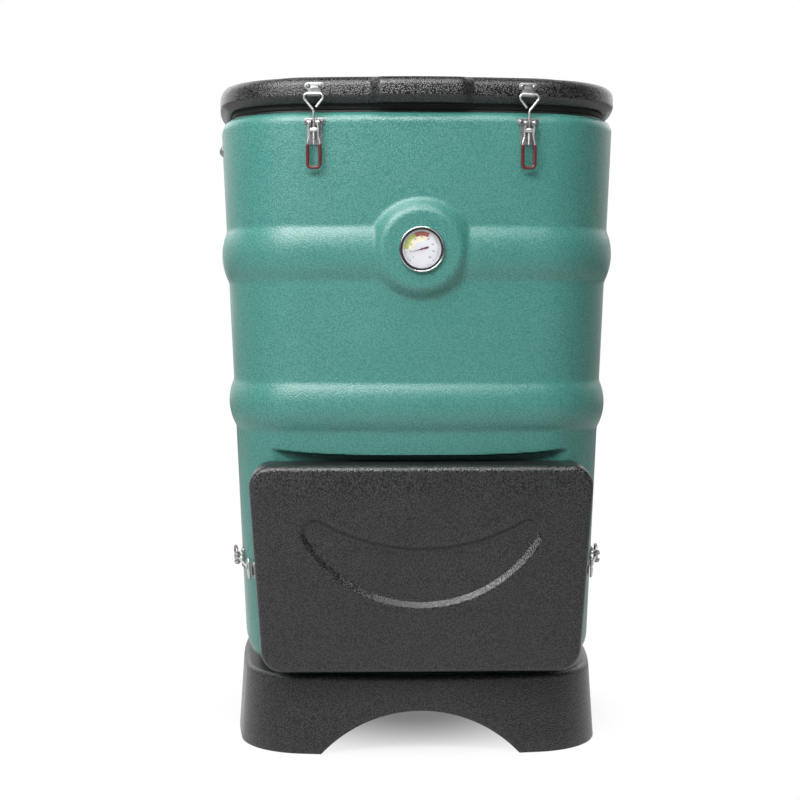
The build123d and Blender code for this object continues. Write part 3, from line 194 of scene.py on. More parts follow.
class BaseSettings(PropertyGroup):
    """Arched stand under the bin."""

    foot_inset: length("Foot inset", "From the lid's side to the foot", 28.0)
    deck_inset: length("Deck inset", "From the lid's side to the deck", 34.5)
    wall: length("Wall", "Thickness of the stand", 5.0)
    deck_radius: length("Deck edge radius", "Of the edge round the deck", 8.0)
    foot_radius: length("Foot edge radius", "Of the edge on the floor", 2.0)
    flange: length("Flange width", "Of the flange that turns in at the floor", 22.0)
    arch_chord: length("Arch chord", "Width of the arches at the floor", 266.0)
    arch_rise: length("Arch rise", "Height of the arches", 58.0)


class LidSettings(PropertyGroup):
    """Lid with its front grip, crown and vent pocket."""

    low: length("Lid low", "Level of the lid's underside", 867.5)
    height: length("Lid height", "Of the lid's rim", 34.5)
    bevel: length("Bevel", "Along the rim's lower edge", 9.0)
    bevel_low: length("Bevel low edge", "Rounding of the bevel's lower edge", 3.0)
    bevel_high: length("Bevel high edge", "Rounding of the bevel's upper edge", 4.0)
    top_radius: length("Top radius", "Of the rim's upper edge", 12.0)
    crown_foot: length("Crown foot", "Rounding where the crown rises", 5.0)
    crown_edge: length("Crown edge", "Rounding of the crown's edge", 6.0)
    skin: length("Skin", "Thickness of the lid's top", 5.0)
    cavity_inset: length("Cavity inset", "From the lid's side to its hollow", 13.5)
    crown_inset: length("Crown inset", "From the lid's side to the foot of its crown", 44.5)
    crown_rise: length("Crown rise", "Height of the crown", 8.0)
    crown_slope: angle("Crown slope", "Of the crown's edge from upright", 50.0)
    grip_half: length("Grip half width", "Of the grip's flat front", 55.0)
    grip_proud: length("Grip proud", "How far the grip stands out", 12.0)
    grip_run: length("Grip run-out", "Over which the grip falls back to the rim", 16.0)
    grip_edge: length("Grip edge", "Over which the grip's ends round off", 2.5)
    grip_blend: length("Grip blend", "Over which the grip runs into the rim", 2.0)
    pad: length("Lid pad", "From the middle of the bin to the lid's hinge pads", 281.5)
    pad_low: length("Lid pad low", "Lower edge of the lid's hinge pads", 868.5)
    pad_high: length("Lid pad high", "Upper edge of the lid's hinge pads", 897.0)
    pocket_radius: length("Vent pocket radius", "Of the pocket for the vent", 50.0)
    pocket_depth: length("Vent pocket depth", "Of the pocket for the vent", 6.0)
    duct_radius: length("Vent duct radius", "Of the hole under the vent", 36.0)
    pivot_radius: length("Pivot radius", "Of the pin that the vent's shutter turns on", 4.8)
    pivot_bore: length("Pivot bore", "Radius of the shutter's hole", 5.1)
    pivot_edge: length("Pivot edge", "Rounding of the pin's end", 0.6)


class HatchSettings(PropertyGroup):
    """Hatch with its crescent pull."""

    low: length("Hatch low", "Level of the hatch's lower edge", 118.0)
    high: length("Hatch high", "Level of the hatch's upper edge", 392.0)
    top_inset: length("Top inset", "From the lid's side to the hatch's side at its top", 55.0)
    bottom_inset: length("Bottom inset", "From the lid's side to the hatch's side at its bottom", 74.0)
    top_radius: length("Top radius", "Of the upper corners", 27.0)
    bottom_radius: length("Bottom radius", "Of the lower corners", 30.0)
    back: length("Back", "Height of the shell's rim over the seat", 5.0)
    front: length("Front", "Height of the hatch's front over the seat", 59.0)
    edge_radius: length("Edge radius", "Of the front's edge", 8.0)
    wall: length("Wall", "Thickness of the shell", 4.0)
    lobe_margin: length("Lobe margin", "From the hatch's top width to the crescent's lobes", 88.5)
    lobe_radius: length("Lobe radius", "Of the crescent's ends", 20.0)
    lobe_rise: length("Lobe rise", "Of the lobes over the lower edge", 186.0)
    low_rise: length("Low rise", "Of the crescent's lowest point over the lower edge", 86.7)
    middle_rise: length("Middle rise", "Of the crescent's upper edge over the lower edge", 168.0)
    recess: length("Recess", "Depth of the crescent", 6.0)
    recess_slope: angle("Recess slope", "Of the crescent's wall from upright", 48.0)
    lip_radius: length("Lip radius", "Rounding of the crescent's lip and floor", 4.5)
    lip_flat: length("Lip flat", "Of the flat rings beside the crescent's wall", 6.0)


class DialSettings(PropertyGroup):
    """Thermometer on its boss."""

    bezel_radius: length("Bezel radius", "Outside of the bezel", 30.0)
    # The bezel's black ring is painted shadow: a dark sheet where the bezel's rim shades the dial
    window_radius: length("Window radius", "Inside of the bezel's black ring", 25.5)
    bezel_height: length("Bezel height", "Over the boss", 5.0)
    bezel_round: length("Bezel round", "Rounding of the bezel's rim", 0.8)
    bezel_sheet: length("Bezel sheet", "Thickness of the bezel's rim", 1.76)
    ring_lip: length("Ring lip", "Height of the black ring over the glass at its inside", 0.4)
    glass_low: length("Glass low", "Underside of the glass over the boss", 1.6)
    glass_sheet: length("Glass sheet", "Thickness of the glass", 2.0)
    dial_sunk: length("Dial sunk", "Depth of the dial under the boss's face", 2.0)
    needle_reach: length("Needle reach", "From the pivot to the tip", 15.0)
    needle_tail: length("Needle tail", "From the pivot to the end of the tail", 9.5)
    needle_half: length("Needle half width", "Beside the pivot", 0.8)
    tail_half: length("Tail half width", "Of the broad tail", 1.2)
    needle_hub: length("Needle hub radius", "Of the cap on the pivot", 1.5)
    needle_lift: length("Needle lift", "Underside of the needle over the dial", 0.6)
    needle_sheet: length("Needle sheet", "Thickness of the needle", 0.6)
    needle_cap: length("Needle cap", "Height of the pivot's cap over the needle", 0.3)
    needle_bearing: angle("Needle bearing", "Where the needle points at rest", 195.0)
    print_lift: length("Print lift", "Thickness of the printed ink", 0.06)
    cream_inner: length("Cream inner radius", "Of the cream band", 10.38)
    band_inner: length("Band inner radius", "Of the coloured bands", 17.3)
    band_outer: length("Band outer radius", "Of the coloured bands", 23.2)
    band_start: angle("Band start", "Bearing of the red band's hot end", 62.0)
    band_change: angle("Band change", "Bearing where the red band meets the green one", 115.0)
    band_end: angle("Band end", "Bearing of the green band's cold end", 180.0)
    tick_radius: length("Tick radius", "Outer ends of the ticks", 23.4)
    tick_length: length("Tick length", "Of the short ticks", 2.2)
    tick_width: length("Tick width", "Of the ticks", 0.45)
    figure_radius: length("Figure radius", "Middles of the figures", 15.6)
    figure_height: length("Figure height", "Of the figures", 3.4)
    scale_start: angle("Scale start", "Bearing of the lowest reading", 225.0)
    scale_sweep: angle("Scale sweep", "Turn from the lowest to the highest reading", 270.0)
    tick_count: IntProperty(
        name="Tick steps", description="Steps from the lowest to the highest reading", default=40)
    top_reading: IntProperty(name="Top reading", description="Highest figure in degrees", default=80)
    figure_step: IntProperty(
        name="Figure step", description="Degrees from one figure to the next", default=10)


class LatchSettings(PropertyGroup):
    """Wire toggle latches, about the lever's pivot, with the keeper towards +Y."""

    lid_share: number("Lid latch share", "Latch place over lid half width", 0.497)
    lid_pivot: length("Lid latch pivot", "Level of the lid levers' pivots", 841.0)
    lid_hook: length("Lid hook", "Level of the lid keepers' hooks", 878.5)
    hatch_share: number("Hatch latch share", "Pivot place over lid half width", 0.528)
    hook_row: length("Hatch hook row", "Of the hatch keepers up the hatch", -4.0)
    hook_depth: length("Hatch hook depth", "Of the hatch keepers over the seat", 28.0)
    wire_radius: length("Wire radius", "Of the levers and bails", 1.6)
    pivot_height: length("Pivot height", "Over the wall", 9.5)
    trunnion_drop: length("Trunnion drop", "From the pivot to the trunnion", 9.2)
    trunnion_height: length("Trunnion height", "Over the wall", 8.5)
    trunnion_radius: length("Trunnion radius", "Of the trunnion's ends", 2.0)
    pin_radius: length("Pin radius", "Of the lever's pivot", 2.0)
    cheek_inside: length("Cheek inside", "From the middle to a lever cheek", 4.9)
    cheek_sheet: length("Cheek sheet", "Thickness of the lever's cheeks", 2.2)
    cheek_radius: length("Cheek radius", "Of the cheeks' ends", 4.0)
    hole_clear: length("Hole clearance", "Of the cheeks' holes round their pins", 0.05)
    edge_break: length("Edge break", "Bevel on the edges of cheeks and tongues", 0.3)
    lever_length: length("Lever length", "From the pivot to the lever's end", 58.7)
    lever_neck: length("Lever neck", "Where the legs start to spread", 18.0)
    lever_splay: length("Lever splay", "Where the legs run straight again", 26.0)
    lever_bend: length("Lever bend", "Radius of the lever's bends", 5.0)
    leg_start: length("Leg start", "Where the legs leave the cheeks", 11.7)
    leg_half: length("Leg half", "From the middle to a leg", 8.2)
    grip_start: length("Grip start", "Where the red sleeve begins", 28.5)
    grip_radius: length("Grip radius", "Of the red sleeve", 2.3)
    bail_tail: length("Bail tail", "Of threaded wire below the trunnion", 19.0)
    loop_length: length("Loop length", "Of the bail's loop", 21.7)
    loop_half: length("Loop half width", "Of the bail's loop", 17.5)
    loop_bend: length("Loop bend", "Radius of the loop's corners", 4.5)
    neck_bend: length("Neck bend", "Radius where the loop leaves the stem", 6.0)
    butt_gap: length("Butt gap", "Between the wire's end and the stem", 0.4)
    bar_height: length("Bar height", "Of the bail's bar over the keeper's plate", 9.2)
    thread_pitch: length("Thread pitch", "Of the bail's thread", 0.8)
    thread_depth: length("Thread depth", "Of the bail's thread", 0.3)
    thread_bare: length("Thread bare", "Of bare wire between the thread and the trunnion", 4.0)
    thread_start: length("Thread start", "From the wire's end to the thread", 0.5)
    bracket_seat: length("Bracket seat", "Thickness of brackets and keepers under the screws", 1.5)
    tongue_half: length("Tongue half width", "Of the bracket's tongue under the lever", 10.3)
    tongue_sheet: length("Tongue sheet", "Height of the bracket's tongue over the wall", 1.3)
    tongue_sunk: length("Tongue sunk", "Depth of the tongue's underside in the wall", 0.6)
    tongue_corner: length("Tongue corner", "Radius of the tongue's corners", 4.0)
    bracket_screws: length("Bracket screws", "Between a bracket's screws", 19.6)
    bracket_row: length("Bracket row", "Of a bracket's screws", 2.4)
    keeper_screws: length("Keeper screws", "Between a keeper's screws", 16.2)
    keeper_row: length("Keeper row", "Of a keeper's screws", 11.3)
    hinge_leaf: length("Hinge leaf", "Thickness of the hinges' leaves", 2.5)
    hinge_screws: length("Hinge screws", "Between a leaf's screws", 38.0)
    lid_leaf_row: length("Lid leaf row", "Level of the screws in the lid's leaves", 882.75)
    body_leaf_row: length("Body leaf row", "Level of the screws in the body's leaves", 829.5)
    head_radius: length("Head radius", "Of the screws' heads", 3.2)
    head_height: length("Head height", "Of the screws' heads", 2.5)
    head_sunk: length("Head sunk", "Depth of the heads' undersides in their seats", 0.5)
    head_turn: angle("Head turn", "From one screw's slots to the next one's", 40.107)
    slot_width: length("Slot width", "Of the cross recess", 0.8)
    slot_length: length("Slot length", "Of the cross recess", 3.4)
    slot_depth: length("Slot depth", "Of the cross recess", 1.1)


class StageSettings(PropertyGroup):
    """Camera, floor and background."""

    distance: length("Camera distance", "From the camera to the middle of the bin", 2344.0)
    height: length("Camera height", "Of the camera over the floor", 581.0)
    yaw: angle("Camera yaw", "How far to the left of the front the camera stands", 2.15)
    focal: number("Focal length", "In pixels of the image", 1565.0)
    middle_x: number("Middle column", "Image column of the bin's middle", 413.6)
    horizon: number("Horizon row", "Image row of the horizon", 320.0)
    floor_colour: colour("Floor colour", "#d2d2d2")
    background: colour("Background", "#ffffff")


class FinishSettings(PropertyGroup):
    """Two colours of each finish, the darker and the lighter."""

    # The lighter colour of each moulded plastic is painted highlight on its pebbles' tops
    green_moulded_dark: colour("Green plastic between its pebbles", "#306860")
    green_moulded_light: colour("Green plastic on its pebbles", "#467d75")
    black_moulded_dark: colour("Black plastic between its pebbles", "#020202")
    black_moulded_light: colour("Black plastic on its pebbles", "#343536")
    dark_liner_dark: colour("Liner, dark", "#151617")
    dark_liner_light: colour("Liner, light", "#212223")
    foam_dark: colour("Foam, dark", "#cdb98c")
    foam_light: colour("Foam, light", "#e3d6b2")
    seal_rubber_dark: colour("Seal, dark", "#0e0f10")
    seal_rubber_light: colour("Seal, light", "#1c1d1e")
    stainless_dark: colour("Pressed steel, dark", "#747577")
    stainless_light: colour("Pressed steel, light", "#a6a7a8")
    bright_wire_dark: colour("Wire, dark", "#b4b5b3")
    bright_wire_light: colour("Wire, light", "#cfd0ce")
    zinc_steel_dark: colour("Zinc-plated steel, dark", "#85898c")
    zinc_steel_light: colour("Zinc-plated steel, light", "#a9adaf")
    bezel_steel_dark: colour("Bezel, dark", "#c4c5c6")
    bezel_steel_light: colour("Bezel, light", "#dcdddd")
    case_black_dark: colour("Thermometer case, dark", "#101112")
    case_black_light: colour("Thermometer case, light", "#1b1c1d")
    dial_white_dark: colour("Dial, dark", "#d9d9e1")
    dial_white_light: colour("Dial, light", "#e4e4ea")
    needle_black_dark: colour("Needle, dark", "#5c1a24")
    needle_black_light: colour("Needle, light", "#7b2a35")
    red_grip_dark: colour("Red sleeve, dark", "#3f1113")
    red_grip_light: colour("Red sleeve, light", "#5a1c1d")
    green_ink_dark: colour("Green band, dark", "#a7b54a")
    green_ink_light: colour("Green band, light", "#bcc862")
    red_ink_dark: colour("Red band, dark", "#9b3f33")
    red_ink_light: colour("Red band, light", "#b25244")
    cream_ink_dark: colour("Cream band, dark", "#e9e6c6")
    cream_ink_light: colour("Cream band, light", "#f1eed6")
    black_ink_dark: colour("Ticks and figures, dark", "#2a2a2b")
    black_ink_light: colour("Ticks and figures, light", "#3a3a3b")


class BinSettings(PropertyGroup):
    """All settings of the compost bin."""

    wall: PointerProperty(type=WallSettings)
    feature: PointerProperty(type=FeatureSettings)
    base: PointerProperty(type=BaseSettings)
    lid: PointerProperty(type=LidSettings)
    hatch: PointerProperty(type=HatchSettings)
    dial: PointerProperty(type=DialSettings)
    latch: PointerProperty(type=LatchSettings)
    stage: PointerProperty(type=StageSettings)
    finish: PointerProperty(type=FinishSettings)


def bin_settings():
    """The settings of the scene's compost bin."""
    return bpy.context.scene.compost_bin


def linear(hex_colour):
    """Turns an sRGB hex colour into the linear colour that a shader wants."""
    channels = []
    for start in (1, 3, 5):
        value = int(hex_colour[start:start + 2], 16) / 255
        channels.append(value / 12.92 if value <= 0.04045 else ((value + 0.055) / 1.055) ** 2.4)
    return (*channels, 1.0)


def add_node(tree, kind, inputs=None, **settings):
    """Adds one node with its settings; an input given as a socket is linked, any other value is set."""
    made = tree.nodes.new(kind)
    for key, value in settings.items():
        setattr(made, key, value)
    for name, value in (inputs or {}).items():
        if isinstance(value, bpy.types.NodeSocket):
            tree.links.new(value, made.inputs[name])
        else:
            made.inputs[name].default_value = value
    return made


def new_material(name):
    """An empty node material and the object coordinates that its patterns read."""
    material = bpy.data.materials.new(name)
    material.use_nodes = True
    tree = material.node_tree
    tree.nodes.clear()
    place = add_node(tree, "ShaderNodeTexCoord").outputs["Object"]
    return material, tree, place


def surface(material, tree, inputs):
    """Ends a material in one Principled shader with the given inputs."""
    shader = add_node(tree, "ShaderNodeBsdfPrincipled", inputs)
    add_node(tree, "ShaderNodeOutputMaterial", {"Surface": shader.outputs["BSDF"]})
    return material


NOISE_RANGE = {"From Min": 0.3, "From Max": 0.7}  # nearly all of a noise's values lie in it
PEBBLE_EDGE, PEBBLE_TOP = 0.75, 0.1  # distances from a pebble's middle, as shares of its size
DRIFT_MM = 90.0  # size of the slow drift in the colour and gloss of a moulded skin
# The pebbles' paler colour is painted highlight on their tops
DRIFT_LEAST = 0.86  # share of the pebbles' paler colour that shows where the drift is weakest
BLOTCH_RELIEF = 0.6  # share of its depth that a blotch's relief shows
POLYETHYLENE_IOR, GLASS_IOR = 1.51, 1.45


def pebbled_polyethylene(dark, light, name, grain_mm, depth_mm, rough_low, rough_high):
    """Rotomoulded polyethylene from a grit-blasted mould: a waxy skin of shallow pebbles that breaks
    the highlight into specks, with painted highlight as a paler colour on the pebbles' tops. The real
    grit is finer than a pixel, so it is drawn as coarse as it needs to show."""
    material, tree, place = new_material(name)
    pebbles = add_node(tree, "ShaderNodeTexVoronoi", {"Vector": place, "Scale": 1 / (grain_mm * MM)})
    drift = add_node(tree, "ShaderNodeTexNoise", {
        "Vector": place, "Scale": 1 / (DRIFT_MM * MM), "Detail": 3.0})
    tops = add_node(tree, "ShaderNodeMapRange", {
        "Value": pebbles.outputs["Distance"], "From Min": PEBBLE_EDGE, "From Max": PEBBLE_TOP},
        interpolation_type="SMOOTHSTEP")
    worn = add_node(tree, "ShaderNodeMapRange", {
        "Value": drift.outputs["Fac"], **NOISE_RANGE, "To Min": DRIFT_LEAST, "To Max": 1.0})
    # The paler colour on the pebbles' tops is painted highlight, standing in for glints on the pebbles
    painted_glint_share = add_node(tree, "ShaderNodeMath", {
        0: tops.outputs["Result"], 1: worn.outputs["Result"]}, operation="MULTIPLY")
    tint = add_node(tree, "ShaderNodeMix", {
        "Factor": painted_glint_share.outputs["Value"], "A": dark, "B": light}, data_type="RGBA")
    rough = add_node(tree, "ShaderNodeMapRange", {
        "Value": drift.outputs["Fac"], **NOISE_RANGE, "To Min": rough_low, "To Max": rough_high})
    bump = add_node(tree, "ShaderNodeBump", {
        "Strength": 1.0, "Distance": depth_mm * MM, "Height": tops.outputs["Result"]})
    return surface(material, tree, {
        "Base Color": tint.outputs["Result"], "Roughness": rough.outputs["Result"],
        "IOR": POLYETHYLENE_IOR, "Normal": bump.outputs["Normal"]})


def flat_finish(dark, light, name, blotch_mm, rough_low, rough_high, metallic, depth_mm):
    """A plain finish with faint blotches in its colour and gloss, as handled plastic and metal have."""
    material, tree, place = new_material(name)
    blotches = add_node(tree, "ShaderNodeTexNoise", {
        "Vector": place, "Scale": 1 / (blotch_mm * MM), "Detail": 4.0})
    tint = add_node(tree, "ShaderNodeMix", {
        "Factor": blotches.outputs["Fac"], "A": dark, "B": light}, data_type="RGBA")
    rough = add_node(tree, "ShaderNodeMapRange", {
        "Value": blotches.outputs["Fac"], **NOISE_RANGE, "To Min": rough_low, "To Max": rough_high})
    inputs = {"Base Color": tint.outputs["Result"], "Metallic": metallic,
              "Roughness": rough.outputs["Result"]}
    if depth_mm:
        bump = add_node(tree, "ShaderNodeBump", {
            "Strength": BLOTCH_RELIEF, "Distance": depth_mm * MM, "Height": blotches.outputs["Fac"]})
        inputs["Normal"] = bump.outputs["Normal"]
    return surface(material, tree, inputs)


def clear_glass(name):
    """Flat instrument glass: clear, with a hard shine."""
    material, tree, _ = new_material(name)
    return surface(material, tree, {
        "Base Color": linear("#ffffff"), "Roughness": 0.02, "IOR": GLASS_IOR, "Transmission Weight": 1.0})


# Pebbled finishes: material name, pebble size and depth in mm, lowest and highest roughness
PEBBLED_FINISHES = {
    # The green shell: a waxy skin with a broad soft shine, speckled by painted highlight on its pebbles'
    # tops
    "green_moulded": ("green_rotomoulded_polyethylene", 2.2, 0.18, 0.31, 0.39),
    # Lid, hatch and stand: near black, greyed by painted highlight on the tops of deeper pebbles
    "black_moulded": ("black_rotomoulded_polyethylene", 2.0, 0.28, 0.27, 0.35),
}
# Flat finishes: material name, blotch size in mm, lowest and highest roughness, metallic, relief in mm
FLAT_FINISHES = {
    # Dull black with a soft uneven sheen
    "dark_liner": ("black_blown_polyethylene", 6.0, 0.42, 0.52, 0.0, 0.08),
    # Matt cream with fine pits
    "foam": ("poured_polyurethane_foam", 3.0, 0.85, 0.95, 0.0, 0.6),
    # Deep black without a shine
    "seal_rubber": ("extruded_foam_rubber", 4.0, 0.6, 0.8, 0.0, 0.1),
    # Mid-grey metal whose reflections are soft and a little uneven
    "stainless": ("pressed_stainless_steel", 3.0, 0.38, 0.52, 1.0, 0.25),
    # Pale metal with a bright line along each rod
    "bright_wire": ("drawn_stainless_wire", 4.0, 0.32, 0.46, 1.0, 0.0),
    # Bluish grey metal with a dull shine
    "zinc_steel": ("zinc_plated_steel", 5.0, 0.3, 0.45, 1.0, 0.0),
    # Near mirror with hard bright and dark lines
    "bezel_steel": ("polished_stainless_steel", 12.0, 0.06, 0.14, 1.0, 0.0),
    # Even black with a satin shine
    "case_black": ("black_painted_steel", 8.0, 0.35, 0.5, 0.0, 0.0),
    # Cool even white with a satin shine
    "dial_white": ("white_enamelled_sheet", 10.0, 0.4, 0.5, 0.0, 0.0),
    # Dark red with a satin shine; the record's slot is named for black
    "needle_black": ("red_lacquered_sheet", 4.0, 0.35, 0.45, 0.0, 0.0),
    # Deep red with a smooth soft shine
    "red_grip": ("red_dipped_vinyl", 5.0, 0.28, 0.4, 0.0, 0.05),
    # Flat printed colours with hardly a shine
    "green_ink": ("yellow_green_screen_ink", 3.0, 0.5, 0.6, 0.0, 0.0),
    "red_ink": ("red_brown_screen_ink", 3.0, 0.5, 0.6, 0.0, 0.0),
    "cream_ink": ("cream_screen_ink", 3.0, 0.5, 0.6, 0.0, 0.0),
    "black_ink": ("black_screen_ink", 3.0, 0.5, 0.6, 0.0, 0.0),
}
MADE_FINISHES = {}


def finish(key):
    """The material of one finish, made the first time that it is asked for."""
    if key in MADE_FINISHES:
        return MADE_FINISHES[key]
    if key == "clear_glass":
        made = clear_glass("flat_instrument_glass")
    else:
        colours = [linear(getattr(bin_settings().finish, f"{key}_{shade}")) for shade in ("dark", "light")]
        if key in PEBBLED_FINISHES:
            made = pebbled_polyethylene(*colours, *PEBBLED_FINISHES[key])
        else:
            made = flat_finish(*colours, *FLAT_FINISHES[key])
    MADE_FINISHES[key] = made
    return made


def slot_of(node):
    """The record's material slot of a CAD node."""
    for entry in frame["record"]["subparts"]:
        if entry["node"] == node:
            return entry["material_slot"]
    raise ValueError(f"no material slot for {node}")


def placed(name, data):
    """A new object at the origin, linked into the scene."""
    made = bpy.data.objects.new(name, data)
    bpy.context.collection.objects.link(made)
    return made


def piece(mesh, name, body, slot, *nodes, coat=None):
    """Makes a mesh a piece that rides on a body, takes a slot's finish and stands for CAD nodes."""
    mesh.materials.clear()
    mesh.materials.append(finish(coat or slot))
    made = placed(name, mesh)
    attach(made, body)
    if nodes:
        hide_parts(*nodes)
    return made


def to_mesh(bm, name):
    """Merges a built shape's doubles, turns its faces outwards and makes it a smooth-shaded mesh."""
    bmesh.ops.remove_doubles(bm, verts=bm.verts, dist=WELD)
    bmesh.ops.recalc_face_normals(bm, faces=bm.faces)
    mesh = bpy.data.meshes.new(name)
    bm.to_mesh(mesh)
    bm.free()
    return smoothed(mesh)


def smoothed(mesh):
    """Shades a mesh smooth but for its sharp edges."""
    mesh.shade_smooth()
    mesh.set_sharp_from_angle(angle=CREASE_ANGLE)
    return mesh


def baked(maker):
    """The plain mesh that an object's modifiers make of it; the object itself is removed."""
    bpy.context.view_layer.update()
    graph = bpy.context.evaluated_depsgraph_get()
    mesh = bpy.data.meshes.new_from_object(maker.evaluated_get(graph))
    bpy.data.objects.remove(maker)
    return mesh


def cut(mesh, *cutters):
    """Cuts closed meshes away from a closed mesh."""
    blank = placed("blank", mesh)
    tools = []
    for cutter in cutters:
        tool = placed("cutter", cutter)
        tools.append(tool)
        modifier = blank.modifiers.new("cut", "BOOLEAN")
        modifier.operation = "DIFFERENCE"
        modifier.solver = "EXACT"
        modifier.object = tool
    result = baked(blank)
    for tool in tools:
        bpy.data.objects.remove(tool)
    return smoothed(result)


def skin(bm, rings):
    """Joins closed rings of corners with faces, each ring to the next."""
    for ring, after in zip(rings, rings[1:]):
        for i, corner in enumerate(ring):
            j = (i + 1) % len(ring)
            bm.faces.new((corner, ring[j], after[j], after[i]))


def fill(bm, rings):
    """Fills the flat area between closed rings of corners."""
    pairs = [(ring[i - 1], ring[i]) for ring in rings for i in range(len(ring))]
    edges = [bm.edges.get(pair) or bm.edges.new(pair) for pair in pairs]
    bmesh.ops.triangle_fill(bm, use_beauty=True, use_dissolve=False, edges=edges)


def loft(rows):
    """Closed skin through rows of points, each row a closed ring; the last row joins the first."""
    bm = bmesh.new()
    rings = [[bm.verts.new(point) for point in row] for row in rows]
    skin(bm, rings + rings[:1])
    return bm


def prism(outline, place, low, high):
    """Closed prism over a flat outline of (x, y) points, between two heights of a frame."""
    bm = bmesh.new()
    bottom = [bm.verts.new(place @ Vector((x, y, low))) for x, y in outline]
    top = [bm.verts.new(place @ Vector((x, y, high))) for x, y in outline]
    bm.faces.new(bottom)
    bm.faces.new(top)
    skin(bm, (bottom, top))
    return bm


def circle(radius, steps):
    """Points round a circle about the origin."""
    bearings = [2 * math.pi * i / steps for i in range(steps)]
    return [Vector((radius * math.cos(bearing), radius * math.sin(bearing))) for bearing in bearings]


def lathe(profile, place, segments=96):
    """Closed ring turned from a closed profile of (radius, height) points about a frame's Z."""
    return loft([[place @ Vector((*spot, height)) for spot in circle(radius, segments)]
                 for radius, height in profile])


def broken(bm, steeper, width):
    """Breaks the edges of a built shape that are steeper than an angle with a small bevel."""
    edges = [edge for edge in bm.edges if len(edge.link_faces) == 2 and edge.calc_face_angle() > steeper]
    bmesh.ops.bevel(
        bm, geom=edges, offset=width, segments=2, profile=0.5, affect="EDGES", clamp_overlap=True)


def round_corners(corners, closed=True, steps=6):
    """A polyline through (x, y, radius) corners, each turned into an arc of a fixed number of points."""
    points = []
    count = len(corners)
    for i, (x, y, radius) in enumerate(corners):
        spot = Vector((x, y))
        if radius <= 0 or not closed and i in (0, count - 1):
            points.append(spot)
            continue
        before = (Vector(corners[i - 1][:2]) - spot).normalized()
        after = (Vector(corners[(i + 1) % count][:2]) - spot).normalized()
        half = before.angle(after) / 2
        middle = spot + (before + after).normalized() * radius / math.sin(half)
        start = spot + before * radius / math.tan(half) - middle
        end = spot + after * radius / math.tan(half) - middle
        swing = start.angle(end)
        for step in range(steps + 1):
            share = step / steps
            arm = start * math.sin((1 - share) * swing) + end * math.sin(share * swing)
            points.append(middle + arm / math.sin(swing))
    return points


def runs(breaks, gaps):
    """Stations from the first break to the last, spaced by each run's own gap."""
    found = []
    for low, high, gap in zip(breaks, breaks[1:], gaps):
        count = max(1, round(abs(high - low) / gap))
        found += [low + (high - low) * i / count for i in range(count)]
    return found + [breaks[-1]]


def smooth_max(a, b, width):
    """The larger of two values, blended where they are closer than a width."""
    overlap = max(width - abs(a - b), 0.0) / width
    return max(a, b) + overlap * overlap * width / 4


def smooth_min(a, b, width):
    """The smaller of two values, blended where they are closer than a width."""
    return -smooth_max(-a, -b, width)


def ease(value, low, high):
    """Rises smoothly from 0 at low to 1 at high."""
    share = min(max((value - low) / (high - low), 0.0), 1.0)
    return share * share * (3 - 2 * share)


def half_at(level):
    """Half width of the body's drafted side at a level."""
    wall = bin_settings().wall
    return wall.lid_half - wall.lid_overhang - (wall.body_top - level) * math.tan(wall.draft)


def front_frame(level, depth):
    """Frame on the drafted front at a level, sunk by a depth: X across, Y up the wall, Z out of it."""
    draft = bin_settings().wall.draft
    c, s = math.cos(draft), math.sin(draft)
    return Matrix(((1, 0, 0, 0), (0, -s, -c, depth - half_at(level)), (0, c, -s, level), (0, 0, 0, 1)))


def wall_frame(outward, upward, origin):
    """Frame on a wall: Z out of it, Y along the given direction."""
    across = upward.cross(outward).normalized()
    up = outward.cross(across).normalized()
    turn = Matrix((across, up, outward.normalized())).transposed().to_4x4()
    return Matrix.Translation(origin) @ turn


def bow_shift():
    """From the middle of the bin to a side's bow centre."""
    wall = bin_settings().wall
    return wall.bow_radius - wall.lid_half


def spokes(side_runs, corner_steps):
    """Spokes round the bowed square as (start, direction, shift), from the right side anticlockwise.
    side_runs gives the stations of the right, back, left and front sides from their middles."""
    wall = bin_settings().wall
    shift = bow_shift()
    corner_radius = wall.corner_share * wall.lid_half
    reach = wall.bow_radius - corner_radius
    corner_middle = (math.sqrt(2 * reach**2 - shift**2) - shift) / 2
    bow_angle = math.atan2(corner_middle, corner_middle + shift)
    end = bow_angle * wall.bow_radius
    found = []
    for quarter, run in enumerate(side_runs):
        turn = quarter * math.pi / 2
        start = Vector((-shift * math.cos(turn), -shift * math.sin(turn), 0))
        inner = [place for place in run if place < end - LEAST_GAP]
        places = [-end] + [-place for place in reversed(inner) if place > 0] + inner
        for place in places:
            bearing = turn + place / wall.bow_radius
            found.append((start, Vector((math.cos(bearing), math.sin(bearing), 0)), shift))
        diagonal = turn + math.pi / 4
        arm = corner_middle * math.sqrt(2)
        start = Vector((arm * math.cos(diagonal), arm * math.sin(diagonal), 0))
        for step in range(corner_steps):
            bearing = turn + bow_angle + (math.pi / 2 - 2 * bow_angle) * step / corner_steps
            out = Vector((math.cos(bearing), math.sin(bearing), 0))
            found.append((start, out, corner_radius - wall.lid_half))
    return found


def on_spoke(spoke, half, level):
    """The point of a spoke on the outline of a half width, at a level."""
    start, out, shift = spoke
    point = start + out * (half + shift)
    point.z = level
    return point


def square_row(columns, half, level):
    """The points of all spokes on the outline of a half width, at a level."""
    return [on_spoke(spoke, half, level) for spoke in columns]


def round_row(columns, radius, level):
    """The points of a circle about the bin's middle that the spokes' columns run to, at a level."""
    row = []
    for rim in square_row(columns, bin_settings().wall.lid_half, 0.0):
        point = rim.normalized() * radius
        point.z = level
        row.append(point)
    return row


def arc_rows(half, level, radius, start, end, steps):
    """(half, level) pairs on an arc about a centre, from one bearing to another."""
    bearings = [start + (end - start) * step / steps for step in range(steps + 1)]
    return [
        (half + radius * math.cos(bearing), level + radius * math.sin(bearing)) for bearing in bearings]


